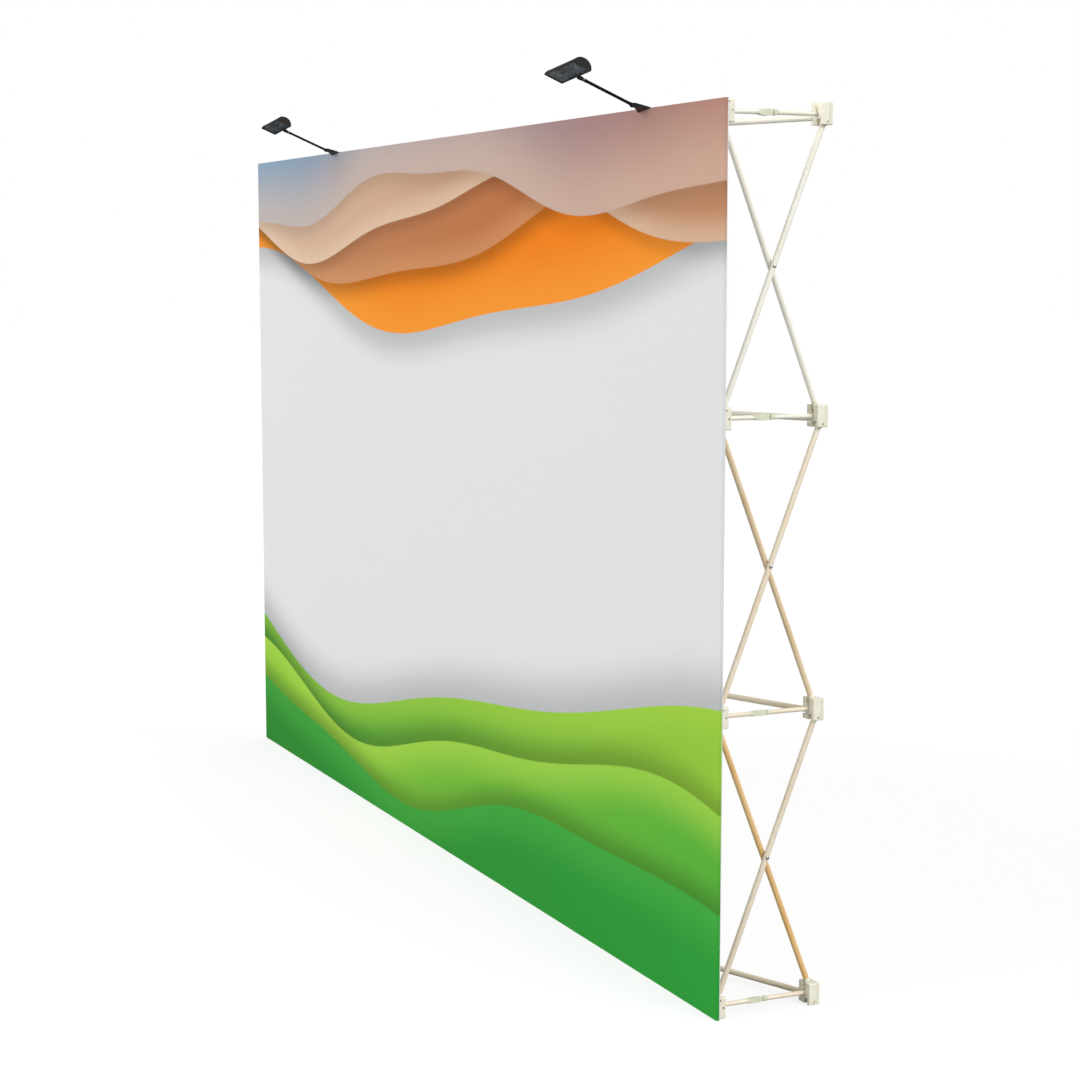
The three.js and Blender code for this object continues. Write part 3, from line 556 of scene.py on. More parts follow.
# Stitches: short rounded bars, one row along each level tape and one down each bound edge
def hemStitches():
    long, half, pitch, inset = (panel[f"stitch{key}"] for key in ("Length", "Half", "Pitch", "Inset"))
    profile = [(-long / 2, half * 0.3), (-long / 4, half), (long / 4, half), (long / 2, half * 0.3)]
    level, upright = turned(origin, across, profile, 1), turned(origin, upwards, profile, 1)
    y = panelBack + panel["tapeThick"] - panel["sunk"]
    fromX, fromZ = panel["stitchFrom"]
    xs = np.arange(-clothX + fromX, clothX - fromX, pitch)
    zs = np.arange(panelZ0 + fromZ, panelZ1 - fromZ, pitch)
    shifts = [(x, y, z) for z in (panelZ0 + inset, panelZ1 - inset) for x in xs]
    side = clothFront + panel["returnDepth"] + 1.0
    return [repeated(level, shifts), repeated(upright, [(s * clothX, side, z) for s in (-1, 1) for z in zs])]


hem = piece("panel_hem", hemTapes(), hemTape, slot="panel_fabric", flat=False)
thread = piece("hem_stitches", hemStitches(), hemThread, flat=False)
print("panel ready:", len(cloth.data.polygons), "faces")

# Hubs
hub = {
    "slotHalf": 7.8, "tubeOffset": 8.0, "pinWall": 7.5, "strutSlotHalf": 6.3, "strutPinY": 9.0,
    "corner": 3.0, "ease": 0.7, "capDepth": 7.6, "partingGap": 0.3,
    "recessInset": 7.0, "recessDepth": 0.9, "pinHole": 2.9, "pinHoleDepth": 5.0,
    "pin": 2.5, "pinChamfer": 0.4, "pinSunk": 2.2, "pinHold": 2.0, "strutPinHold": 3.0,
    "padWidth": 34, "padHeight": 38, "padThickness": 1.5, "padRadius": 3.0,
}
halfW, halfD, halfH = (hubSize[key] / 2 for key in ("width", "depth", "height"))
pinReach, pinRise = halfW - hub["pinWall"], halfH - hub["pinWall"]


# Hub body: a solid of boxes, slotted like the arms of a pinwheel; left and right say which sides have slots
def hubBody(left, right):
    s, o, a = hub["slotHalf"], hub["tubeOffset"], hub["strutSlotHalf"]
    xs = sorted({-halfW, halfW, -o - s, s - o, o - s, o + s, -a, a, s - pinReach, pinReach - s})
    zs = sorted({-halfH, halfH, -o - s, s - o, o - s, o + s, -a, pinRise - s, s - pinRise})
    ys = [-s, hub["strutPinY"] - a, halfD]
    cx, cy, cz = ((np.array(v[:-1]) + np.array(v[1:])) / 2 for v in (xs, ys, zs))
    x, y, z = np.meshgrid(cx, cy, cz, indexing="ij")
    empty = (np.abs(x - o) < s) & (z > pinRise - s)
    empty |= (np.abs(x + o) < s) & (z < s - pinRise)
    empty |= left & (np.abs(z - o) < s) & (x < s - pinReach)
    empty |= right & (np.abs(z + o) < s) & (x > pinReach - s)
    empty |= (np.abs(x) < a) & (z > -a) & (y > hub["strutPinY"] - a)

    def corner(edge):
        near = 1e-6
        first, second = edge.verts
        upright = abs(first.co.x - second.co.x) < near and abs(first.co.z - second.co.z) < near
        outer = abs(abs(first.co.x) - halfW * mm) < near and abs(abs(first.co.z) - halfH * mm) < near
        return upright and outer

    solid = eased(cells(xs, ys, zs, ~empty), hub["ease"], corner, hub["corner"])
    holes = [((halfW, 0, pinRise), leftwards), ((-halfW, 0, -pinRise), across),
             ((halfW, hub["strutPinY"], 0), leftwards)]
    if left:
        holes.append(((-pinReach, 0, halfH), downwards))
    if right:
        holes.append(((pinReach, 0, -halfH), upwards))
    deep = [(-1.0, hub["pinHole"]), (hub["pinHoleDepth"], hub["pinHole"])]
    return drilled(solid, [turned(start, along, deep, 4) for start, along in holes])


# Hub cap: rounded rectangles carried outwards, in over the rim, and down into a shallow recess
def hubCap():
    deep, recess, inner = hub["capDepth"], hub["recessDepth"], hub["recessInset"]
    d = np.array([0, 0.3, deep - 1.0, deep - 0.3, deep, deep, deep - recess * 0.6, deep - recess])
    inset = np.array([0.4, 0, 0, 0.3, 1.0, inner, inner + 0.3, inner + 1.0])
    seat = hub["slotHalf"] + hub["partingGap"]
    radius = np.maximum(hub["corner"] - inset, 1.2)
    d = d * (halfD - seat) / deep
    return lofted((0, -seat, 0), forwards, across, d, halfW - inset, halfH - inset, radius, 5)


# Steel pins across the slots, their ends sunk in the holes
def hubPins(left, right, up, down):
    r, end, depth = hub["pin"], hub["pinChamfer"], hub["pinSunk"]
    near = hub["tubeOffset"] - hub["slotHalf"] - hub["pinHold"]
    strut = hub["strutSlotHalf"] + hub["strutPinHold"]
    places = [(True, (-strut, hub["strutPinY"], 0), across, halfW - depth + strut),
              (up, (near, 0, pinRise), across, halfW - depth - near),
              (down, (-near, 0, -pinRise), leftwards, halfW - depth - near),
              (left, (-pinReach, 0, near), upwards, halfH - depth - near),
              (right, (pinReach, 0, -near), downwards, halfH - depth - near)]
    return together([turned(start, along, [(0, r - end), (end, r), (long - end, r), (long, r - end)], 4)
                     for wanted, start, along, long in places if wanted])


bodies = {kind: hubBody(*kind) for kind in ((True, True), (True, False), (False, True))}
cap = hubCap()
padX, padZ = hub["padWidth"] / 2, hub["padHeight"] / 2
hookPad = block((-padX, -halfD - hub["padThickness"], -padZ), (padX, hub["recessDepth"] - halfD, padZ), 1,
                hub["padRadius"], 0.4)


# A layer of a hub in its place. The wall's two ends have no slot outside, and a rear hub is turned round.
def hubPart(layer, column, row, side):
    left, right = column > 0, column < bays
    y, turn, kind = (frontY, 0.0, (left, right)) if side == "front" else (rearY, 180.0, (right, left))
    part = {"bodies": bodies[kind], "caps": cap, "pads": hookPad}.get(layer)
    return moved(part or hubPins(*kind, row < storeys, row > 0), (columnXs[column], y, rowZs[row]),
                 turnAbout(2, turn))


hubLayers = [("bodies", "body", hubNylon, "hub_plastic"), ("caps", "cap", hubNylon, "hub_plastic"),
             ("pins", "pins", zincSteel, "rivet_steel")]
for row, rowName in enumerate(rowNames):
    lattice, inner, outer = f"{rowName}_lattice", range(bays), [bays]
    for side in ("front", "rear"):
        end = f"end_{side}_hub_{row + 1}"
        for columns, node in ((inner, lattice), (outer, end)):
            for layer, single, material, slot in hubLayers:
                label = f"{rowName}_{side}_hub_{layer}" if columns is inner else f"{end}_{single}"
                parts = [hubPart(layer, column, row, side) for column in columns]
                piece(label, parts, material, [node], slot, flat=layer != "pins")
    for columns, label, node in ((inner, f"{rowName}_hook_pads", lattice),
                                 (outer, f"end_hook_pad_{row + 1}", f"end_front_hub_{row + 1}")):
        piece(label, [hubPart("pads", column, row, "front") for column in columns], hookTape, [node])
print("hubs ready")

# Tubes, plugs and rivets
tube = {
    "radius": 7.5, "wall": 1.1, "rim": 0.35, "collar": 16.0, "lip": 1.4, "lipRadius": 7.45, "bore": 6.2,
    "neck": 6.9, "eyeHalf": 6.7, "eyeTip": 6.6, "eyeRound": 7.25, "eyeEdge": 1.5,
    "rivetShank": 2.9, "rivetHead": 5.0, "rivetHeight": 2.3, "washer": 6.2, "washerHalf": 0.45,
}


# Tube wall between two pins: it stops a collar's length short of each, its rims turned in to the bore
def tubeWall(first, last, perCorner=6):
    first, last = np.array(first), np.array(last)
    length = np.linalg.norm(last - first)
    r, w, rim, s = tube["radius"], tube["wall"], tube["rim"], tube["collar"]
    near = [(s + 3, r - w), (s, r - w), (s, r - rim), (s + rim, r)]
    far = [(length - d, radius) for d, radius in reversed(near)]
    return turned(first, last - first, near + far, perCorner)


# Plug in a tube's end: round in the bore, a lip on the rim, then a flat-sided eye that ends in a half circle
# about the pin: half height = sqrt(round^2 - distance^2) past the pin
def plug(pin, outward, pinAxis, perCorner=5):
    s, lip, eye, tall = tube["collar"], tube["lip"], tube["eyeHalf"], tube["eyeRound"]
    past = np.array([1.5, 3.2, 4.8, 6.0, 6.8, 7.1])
    stem = [tube["bore"]] * 2 + [tube["lipRadius"]] * 2 + [tube["neck"]] * 2
    d = [-s - 4, -s, -s, -s + lip, -s + lip + 0.25, -12.8, -9.6, -6.5, 0, *past]
    a = [*stem, eye, eye, eye, *np.full(6, tube["eyeTip"])]
    b = [*stem, 7.1, tall, tall, *np.sqrt(tall ** 2 - past ** 2)]
    c = [*stem, 3.8, tube["eyeEdge"], tube["eyeEdge"], *np.full(6, 1.4)]
    return lofted(pin, outward, pinAxis, d, a, b, c, perCorner)


def plugPair(first, last, pinAxis, perCorner=5):
    first, last = np.array(first), np.array(last)
    return [plug(first, first - last, pinAxis, perCorner), plug(last, last - first, pinAxis, perCorner)]


# Rivet through a crossing: shank, and a domed head outside each tube
def rivet(centre, axis, perCorner=4):
    seat = hub["tubeOffset"] + tube["radius"] - 0.1
    head, top = tube["rivetHead"], tube["rivetHeight"]
    shares = ((1, 0.2), (0.88, 0.62), (0.62, 0.9), (0.3, 1), (0, 0.97))
    near = [(-seat - rise * top, share * head) for rise, share in shares] + [(-seat, tube["rivetShank"])]
    return turned(centre, axis, bothEnds(near), perCorner)


# Washer between the tubes: a disc, widest at half its thickness
def washer(centre, axis):
    half, r = tube["washerHalf"], tube["washer"]
    return turned(centre, axis, [(-half, r - 0.2), (0, r), (half, r - 0.2)], 4)


# Pins that an upright tube joins, one in a lower hub and one in the hub above and behind or before it
def uprightEnds(column, bay, leansBack):
    x = columnXs[column] + (hub["tubeOffset"] if leansBack else -hub["tubeOffset"])
    low, high = rowZs[bay] + pinRise, rowZs[bay + 1] - pinRise
    return ((x, frontY, low), (x, rearY, high)) if leansBack else ((x, rearY, low), (x, frontY, high))


# Pins that a level tube joins, one in a hub and one in the next column's, behind or before it
def levelEnds(bay, row, runsBack):
    z = rowZs[row] + (-hub["tubeOffset"] if runsBack else hub["tubeOffset"])
    left, right = columnXs[bay] + pinReach, columnXs[bay + 1] - pinReach
    return ((left, frontY, z), (right, rearY, z)) if runsBack else ((left, rearY, z), (right, frontY, z))


# Piece made of turned forms, with no broad flat faces to keep flat
def roundPiece(name, parts, material, replaces, slot=None):
    return piece(name, parts, material, replaces, slot, flat=False)


middleY = (frontY + rearY) / 2
# End tubes of each bay, from the floor up: copies of the ivory coat with a painted warm reflection, strongest
# in the lowest bay
endReflectionTints = [(tubeBeigeReflection, tubeAmberReflection), (tubeCreamReflection, tubeTanReflection), (tubeIvory, tubeIvory)]
for bay in range(storeys):
    middleZ = (rowZs[bay] + rowZs[bay + 1]) / 2
    for column in range(bays):
        label = f"column_{column + 1}_scissor_{bay + 1}"
        pairs = [uprightEnds(column, bay, leansBack) for leansBack in (True, False)]
        centre = (columnXs[column], middleY, middleZ)
        plugs = sum((plugPair(*pair, across, 3) for pair in pairs), [])
        rivets = [rivet(centre, across), washer(centre, across)]
        roundPiece(f"{label}_tubes", [tubeWall(*pair, 4) for pair in pairs], tubeIvory, [label], "frame_tube")
        roundPiece(f"{label}_plugs", plugs, plugNylon, [label], "hub_plastic")
        roundPiece(f"{label}_rivet", rivets, zincSteel, [label], "rivet_steel")
    for leansBack, way, colour in zip((True, False), ("back", "forward"), endReflectionTints[bay]):
        pair = uprightEnds(bays, bay, leansBack)
        label, node = f"end_tube_{bay + 1}_{way}", [f"end_tube_{bay + 1}_leaning_{way}"]
        roundPiece(f"{label}_wall", [tubeWall(*pair, 8)], colour, node, "frame_tube")
        roundPiece(f"{label}_plugs", plugPair(*pair, across, 6), plugNylon, node, "hub_plastic")
    centre, node = (columnXs[bays], middleY, middleZ), [f"end_rivet_{bay + 1}"]
    roundPiece(f"end_crossing_rivet_{bay + 1}", [rivet(centre, across, 6)], zincSteel, node, "rivet_steel")
    roundPiece(f"end_crossing_washer_{bay + 1}", [washer(centre, across)], plugNylon, node)

# Level end-bay tubes of each row, from the floor up: the lower two rows take the copy with a painted warm
# reflection
rowReflectionTints = [tubeCreamReflection, tubeCreamReflection, tubeIvory, tubeIvory]
for row, rowName in enumerate(rowNames):
    node = [f"{rowName}_lattice"]
    pairs = [levelEnds(bay, row, runsBack) for bay in range(bays) for runsBack in (True, False)]
    centres = [((columnXs[bay] + columnXs[bay + 1]) / 2, middleY, rowZs[row]) for bay in range(bays)]
    walls = [tubeWall(*pair, 4) for pair in pairs[:-2]]
    endWalls = [tubeWall(*pair, 8) for pair in pairs[-2:]]
    plugs = sum((plugPair(*pair, upwards, 4) for pair in pairs), [])
    rivets = [make(centre, upwards) for centre in centres for make in (rivet, washer)]
    roundPiece(f"{rowName}_level_tubes", walls, tubeIvory, node, "frame_tube")
    roundPiece(f"{rowName}_end_bay_tubes", endWalls, rowReflectionTints[row], node, "frame_tube")
    roundPiece(f"{rowName}_level_plugs", plugs, plugNylon, node, "hub_plastic")
    roundPiece(f"{rowName}_level_rivets", rivets, zincSteel, node, "rivet_steel")
print("tubes ready")

# Locking arms
arm = {
    "radius": 6.0, "eyeHalf": 5.9, "collar": 11.0,
    "jointShare": 0.44,       # of the depth, from the front hub
    "joint": 16.0, "rootLength": 6.0, "taper": 4.0, "rootHalf": 7.4, "halfWidth": 7.0, "mouthHalf": 3.4,
    "cheekEnd": 7.2, "cheekBulge": 1.8, "cheekNose": 5.0, "tipGap": 3.0, "rootCorner": 2.2, "button": 3.0,
    "tongueEnd": 6.4, "tongueBulge": 1.4, "tongueNose": 4.5, "tongueHalf": 3.0, "buttonProud": 0.5,
    "swell": (0.15, 0.15, 0.7, 1.0),      # how far each row's joints, from the floor up, outgrow their tubes
}
strutSpan = rearY - frontY
forkMiddle = strutSpan * arm["jointShare"] - hub["strutPinY"]
tongueMiddle = strutSpan * (1 - arm["jointShare"]) - hub["strutPinY"]


# Half size of a joint: the tube's, grown towards the full joint's by its row's swell
def swollen(key, swell):
    least = arm["radius"] + 0.3
    return least + (arm[key] - least) * swell


# Shank from the hub pin along +Y: an eye, a plug lip, and the root of the fork or tongue, which grows from
# the tube's size to its own by t * t * (3 - 2 t)
def armPlug(rootEnd, swell):
    r, collar = arm["radius"], arm["collar"]
    past = np.array([-5.9, -5.4, -4.2, -2.4, 0])
    stem = [r - 0.5, r - 0.5, r, r, r - 1.2, r - 1.2]
    d = [*past, 5.0, 8.0, collar - 1.2, collar - 1.2, collar, collar, collar + 3]
    a = [*np.full(5, arm["eyeHalf"] - 0.6), arm["eyeHalf"], *stem]
    b = [*np.sqrt(np.maximum(r ** 2 - past ** 2, 0.4)), r, *stem]
    c = [*np.full(5, 1.2), 3.0, *stem]
    eye = lofted(origin, rearwards, across, d, a, b, c, 5)
    start = rootEnd - arm["rootLength"] - arm["taper"]
    t = np.linspace(0, 1, 5)
    soft = t * t * (3 - 2 * t)
    lip = r + 0.7
    sizes = [[r + 0.3, lip, *(lip + (full - lip) * soft), full, full - 0.5]
             for full in (swollen("halfWidth", swell), swollen("rootHalf", swell), arm["rootCorner"])]
    d = [start - 5, start - 1.6, *(start + arm["taper"] * t), rootEnd - 0.5, rootEnd]
    return [eye, lofted(origin, rearwards, across, d, *sizes, 5)]


# Painted tube between the two plugs, its rims eased
def armTube(rootEnd):
    r, near = arm["radius"], arm["collar"]
    far = rootEnd - arm["rootLength"] - arm["taper"] - 3
    profile = [(near, r - 0.8), (near, r - 0.2), (near + 0.2, r), (far, r), (far, r - 0.8)]
    return [turned(origin, rearwards, profile)]


# Side outline of a cheek or tongue: it swells from the root, half height = end + bulge * sin(pi * share of
# the way), and its tip is a half ellipse
def tipOutline(start, end, rise, bulge, nose):
    way = np.linspace(0, 1, 9)[:-1]
    half = rise + bulge * np.sin(np.pi * way)
    t = np.linspace(-math.pi / 2, math.pi / 2, 13)
    tip = np.stack([end - nose + nose * np.cos(t), rise * np.sin(t)], -1)
    side = start + (end - nose - start) * way
    return np.concatenate([np.stack([side, -half], -1), tip, np.stack([side, half], -1)[::-1]])


# Push button: a low disc with a dished face
def button(x, along):
    r, proud = arm["button"], arm["buttonProud"]
    profile = [(-0.5, r), (proud - 0.2, r), (proud, r - 0.3), (proud, r - 1.0), (proud - 0.35, r - 1.3)]
    return turned((x, forkMiddle, 0), along, profile, 5)


def forkHalf(swell):
    rootEnd = forkMiddle - arm["joint"] - 1.0
    half = swollen("halfWidth", swell)
    outline = tipOutline(rootEnd - 3, forkMiddle + arm["joint"] - arm["tipGap"], swollen("cheekEnd", swell),
                         arm["cheekBulge"] * swell, arm["cheekNose"])
    parts = armPlug(rootEnd, swell) + cheekPair(outline, arm["mouthHalf"], half, 0.6)
    return parts + [button(half, across), button(-half, leftwards)], armTube(rootEnd)


def tongueHalf(swell):
    rootEnd, half = tongueMiddle - arm["joint"], arm["tongueHalf"]
    rise = min(arm["tongueEnd"], swollen("cheekEnd", swell) - 0.4)
    outline = tipOutline(rootEnd - 3, tongueMiddle + arm["joint"] - 0.3, rise, arm["tongueBulge"] * swell,
                         arm["tongueNose"])
    return armPlug(rootEnd, swell) + [eased(plate(outline, 0, -half, half), 0.5)], armTube(rootEnd)


for row, rowName in enumerate(rowNames):
    halves = [("fork", forkHalf(arm["swell"][row]), frontY + hub["strutPinY"], turnAbout(2, 0)),
              ("tongue", tongueHalf(arm["swell"][row]), rearY - hub["strutPinY"], turnAbout(2, 180))]
    # The end lock arms' tubes take their row's coat, with its painted warm reflection on the lower two rows
    kinds = [("joint", armNylon, armNylon, "hub_plastic"), ("tube", tubeIvory, rowReflectionTints[row], "frame_tube")]
    for index, (label, material, endMaterial, slot) in enumerate(kinds):
        parts = [moved(together(groups[index]), (columnXs[column], y, rowZs[row]), turn)
                 for column in range(bays) for name, groups, y, turn in halves]
        piece(f"{rowName}_lock_arm_{label}s", parts, material, [f"{rowName}_lattice"], slot)
        for name, groups, y, turn in halves:
            node = f"lock_{name}_arm_{row + 1}"
            piece(f"lock_{name}_{row + 1}_{label}", groups[index], endMaterial, [node], slot, f"{node}_body",
                  (columnXs[bays], y, rowZs[row]), turn)
print("locking arms ready")

# Lamps
lamp = {
    "tilt": 23.0, "roll": 8.0, "armLength": 165.0, "gap": 0.3,
    "footLap": 5.0, "footRoll": 7.0, "footReach": 26.0, "footHalf": 35.0, "footTop": 5.3, "tipThick": 1.3,
    "apexHalf": 7.5, "apexRise": 5.5, "ribs": (-0.62, -0.31, 0, 0.31, 0.62), "ribHalf": 0.8, "ribSunk": 0.25,
    "footNarrowing": 1.08, "apexTip": 0.62, "barHalf": 7.0, "barThick": 2.6, "barTail": 16.0, "barLap": 5.0,
    "kneeRadius": 6.0, "kneeTail": 9.0, "kneeRise": 5.2, "eyeHalf": 2.5, "eyeRadius": 5.7, "armRadius": 4.0,
    "kneePin": (2.0, 3.0, 8.4), "wristPin": (1.5, 2.3, 5.6),      # radius, radius of its heads, half length
    "collar": 4.5, "ferrule": 4.4, "ferruleLength": 4.0, "ferruleGroove": 0.3,
    "wristRadius": 4.6, "wristHalf": 4.8, "wristNeck": 11.0, "wristTail": 8.0, "wristRise": 4.1,
    "lugHalf": 2.2,
    "hoodLength": 158.0, "hoodHalf": 27.5, "hoodHeight": 24.0, "hoodSetback": 7.0, "hoodDrop": 4.0,
    "cheek": 2.4, "lipHalf": 0.9, "lipHeight": 2.4, "lipInset": 1.2, "bossHalf": 10.0, "shellInset": 0.5,
    "shellWall": 1.5, "reflectorHalf": 23.6, "reflectorHeight": 16.4, "reflectorSlope": 36.0,
    "reflectorWall": 0.6, "paneHalf": 24.6, "paneInset": 0.5,
    "bulbRadius": 4.6, "bulbHalf": 38.0, "bulbHeight": 5.0, "bulbNeck": 2.0,
    "glassLow": -3.4, "glassHigh": -0.6,
    "clipHalf": 12.0, "clipWall": 4.0, "clipRoof": 3.0, "clipCollar": 6.2,
    "knobRadius": 9.0, "knobLobe": 1.2, "knobLobes": 5, "knobStandoff": 2.0, "screwRadius": 3.0,
}
joints = {joint["name"]: joint for joint in frame["joints"]}
hoodMiddle = -lamp["hoodSetback"] - lamp["hoodHalf"]
hoodInside = lamp["hoodLength"] / 2 - lamp["cheek"]


# Domed pin across X through (y, z), from -reach to reach
def crossPin(y, z, radius, head, reach):
    near = [(-reach, head * 0.4), (0.5 - reach, head * 0.85), (1.1 - reach, head), (1.4 - reach, radius)]
    return turned((0, y, z), across, bothEnds(near), 4)


# Side outline round a hinge: half a circle towards -Y, then straight back to y = tail with that half height
def hingeOutline(y, z, radius, tail, rise):
    t = np.linspace(math.pi / 2, 3 * math.pi / 2, 17)
    nose = np.stack([y + radius * np.cos(t), z + radius * np.sin(t)], -1)
    return np.concatenate([nose, [(tail, z - rise), (tail, z + rise)]])


# Fan of the foot, from the fabric (t = 0) to the apex (t = 1). A section has a flat underside and a top that
# arches from tip to tip: height = 1 - |share of half width| ^ power, and the power grows towards the apex.
# The wide edge leans against the fabric's edge: z grows by x * tan(roll), and this fades towards the apex.
# Ribs run along the top, a bar runs back over the fabric, and two lugs hold the knee.
def footParts(kneeY, kneeZ, backY, top, gripY):
    apexHalf, rise = lamp["apexHalf"], lamp["apexRise"]
    t = np.array([0, 0.015, 0.06, 0.15, 0.28, 0.42, 0.56, 0.7, 0.82, 0.92, 0.98, 1.0])
    inset = np.array([0.5, 0.1, 0, 0, 0, 0, 0, 0, 0, 0, 0.2, 0.8])
    half = apexHalf + (lamp["footHalf"] - apexHalf) * (1 - t) ** lamp["footNarrowing"] - inset
    low = (top - lamp["footLap"]) * (1 - t) + (kneeZ - rise) * t + inset
    high = (top + lamp["footTop"]) * (1 - t) + (kneeZ + rise) * t - inset
    tip = lamp["tipThick"] * (1 - t) + 2 * rise * lamp["apexTip"] * t
    power = 2.0 + 4.0 * t ** 2
    share = np.sin(np.linspace(-math.pi / 2, math.pi / 2, 25))
    arch = 1 - np.abs(share[None, :]) ** power[:, None]
    x = half[:, None] * share[None, :]
    y = np.broadcast_to((backY - lamp["footReach"] * t)[:, None], x.shape)
    lean = math.tan(math.radians(lamp["footRoll"])) * (1 - t)
    under = low[:, None] + x * lean[:, None]
    roof = under + tip[:, None] + (high - low - tip)[:, None] * arch
    parts = [carried(np.concatenate([np.stack([x, y, under], -1), np.stack([x, y, roof], -1)[:, ::-1]], 1))]
    inner = slice(2, -2)
    for place in lamp["ribs"]:
        crest = low + tip + (high - low - tip) * (1 - abs(place) ** power) + place * half * lean
        drift = np.stack([place * half, 0 * half, crest - lamp["ribSunk"]], -1)[inner]
        width = lamp["ribHalf"] * np.sin(np.pi * np.linspace(0.06, 0.94, len(drift))) ** 0.4
        parts.append(lofted((0, backY, 0), forwards, across, t[inner] * lamp["footReach"], width, 0.8 * width,
                            0.5, 2, drift))
    barLow = top + lamp["gap"]
    parts.append(block((-lamp["barHalf"], backY - lamp["barLap"], barLow),
                       (lamp["barHalf"], gripY + lamp["barTail"], barLow + lamp["barThick"]), 1, 0.8, 0.6))
    outline = hingeOutline(kneeY, kneeZ, lamp["kneeRadius"], kneeY + lamp["kneeTail"], lamp["kneeRise"])
    return parts + cheekPair(outline, lamp["eyeHalf"] + lamp["gap"], apexHalf, 0.6)


# Arm along -Y from the knee: an eye, a neck that grows round, the rod, and a collar before the ferrule
def armParts():
    r, half, collar, eye = lamp["armRadius"], lamp["eyeHalf"], lamp["collar"], lamp["eyeRadius"]
    end = lamp["armLength"] - lamp["wristNeck"] - lamp["ferruleLength"]
    d = [2, 8, 11, 14, 16, end - 9, end - 8.6, end - 8.2, end - 0.3, end]
    a = [half, half, 3.5, 3.9, r, r, collar - 0.2, collar, collar, collar - 0.3]
    b = [4.6, 4.3, 4.1, r, r, r, collar - 0.2, collar, collar, collar - 0.3]
    c = [0.8, 1.0, 2.8, 3.8, r, r, collar, collar, collar, collar]
    rim = [(-half, eye - 0.6), (0.5 - half, eye), (half - 0.5, eye), (half, eye - 0.6)]
    return [turned(origin, across, rim), lofted(origin, forwards, across, d, a, b, c)]


# Clevis at the wrist: a yoke that grows from round to square, and two cheeks
def clevisParts():
    length, half = lamp["armLength"], lamp["wristHalf"]
    start = length - lamp["wristNeck"] - 0.5
    yoke = lofted(origin, forwards, across, [start, start + 0.5, start + 2.6, start + 5.4],
                  [3.8, 4.1, half, half], [3.8, 4.0, 4.2, 4.2], [3.6, 3.6, 1.8, 1.0], 5)
    outline = hingeOutline(-length, 0, lamp["wristRadius"], lamp["wristTail"] - length, lamp["wristRise"])
    return [yoke, *cheekPair(outline, lamp["lugHalf"] + lamp["gap"], half, 0.5)]


# Ferrule: rings turned about the arm, radius = ferrule less a small groove every millimetre
def ferruleParts():
    end = lamp["armLength"] - lamp["wristNeck"]
    d = np.linspace(end - lamp["ferruleLength"], end, 17)
    r = lamp["ferrule"] - np.where(np.arange(17) % 4 == 2, lamp["ferruleGroove"], 0.0)
    r[[0, -1]] -= 0.4
    return [turned(origin, forwards, np.stack([d, r], -1))]


# Trough of an ellipse: an outer arc and an inner one, carried along X, each (half * cos t, height * sin t)
def trough(xs, outer, inner, height, wall, low, steps=33):
    t = np.linspace(0, math.pi, steps)
    xs, height = np.asarray(xs, float), np.broadcast_to(height, np.shape(xs))
    arcs = []
    for half, extra, way in ((outer, wall, 1), (inner, 0.0, -1)):
        y = hoodMiddle + half * np.cos(t)
        z = low + np.maximum(height[:, None] + extra, 0.15 + extra) * np.sin(t)
        arc = np.stack([np.broadcast_to(xs[:, None], z.shape), np.broadcast_to(y, z.shape), z], -1)
        arcs.append(arc[:, ::way])
    return carried(np.concatenate(arcs, 1))


# Hood: a trough between two half-round cheeks, a lip along each edge, and the lug that the clevis holds
def hoodParts():
    inside, half, drop, back = hoodInside, lamp["hoodHalf"], lamp["hoodDrop"], -lamp["hoodSetback"]
    height, lug, boss = lamp["hoodHeight"], lamp["lugHalf"], lamp["bossHalf"]
    xs = np.linspace(-inside - 0.4, inside + 0.4, 9)
    wall, inset = lamp["shellWall"], lamp["shellInset"]
    shell = trough(xs, half - inset, half - inset - wall, height - inset - wall, wall, -drop)
    t = np.linspace(0, math.pi, 41)
    outline = np.stack([hoodMiddle + half * np.cos(t), -drop + height * np.sin(t)], -1)
    cheeks = cheekPair(outline, inside, lamp["hoodLength"] / 2, 0.8, 3)
    wide, tall, inset = (lamp[key] for key in ("lipHalf", "lipHeight", "lipInset"))
    lips = [block((-inside, y - wide, -drop - 0.1), (inside, y + wide, -drop + tall), 0, 0.7, 0.2)
            for y in (hoodMiddle - half + inset, hoodMiddle + half - inset)]
    outline = hingeOutline(0, 0, lamp["wristRadius"] - 0.3, 5.5, 3.9) * np.array([-1, 1])
    return [shell, *cheeks, *lips, eased(plate(outline[::-1], 0, -lug, lug), 0.4),
            block((-lug, back - 3, -3.7), (lug, 0, 3.7), 1, 0.6, 0.4),
            block((-boss, back - 4.5, -3.6), (boss, back + 0.4, 3.2), 0, 1.4, 1.0)]


# Reflector: a trough whose back slopes down to the pane at both ends,
# height = whole height * (distance from the end / slope length), at most the whole height
def reflectorParts():
    half, wall = lamp["reflectorHalf"], lamp["reflectorWall"]
    end = hoodInside - wall
    xs = end * np.sin(np.linspace(-math.pi / 2, math.pi / 2, 61))
    rise = np.minimum((end - np.abs(xs)) / lamp["reflectorSlope"], 1)
    low = lamp["glassHigh"] + lamp["gap"]
    return [trough(xs, half + wall, half, lamp["reflectorHeight"] * rise, wall, low, 65)]


# Bulb: a sealed tube with pinched ends, its coil, and the two holders
def bulbParts():
    half, r, neck, z = (lamp[f"bulb{key}"] for key in ("Half", "Radius", "Neck", "Height"))
    y = hoodMiddle
    glass = bothEnds([(-half - 6, neck), (-half - 2, neck + 0.2), (-half, r * 0.8), (-half + 3, r)])
    coil = 0.75 + 0.25 * np.cos(np.arange(121) * math.pi)
    wire = np.stack([np.linspace(-half + 4, half - 4, len(coil)), coil], -1)
    holders = [block((x - 6, y - 5, z - 4.5), (x + 6, y + 5, z + 11), 2, 1.5, 0.8)
               for x in (-half - 9, half + 9)]
    return [turned((0, y, z), across, glass, 5)], [turned((0, y, z), across, wire, 2)], holders


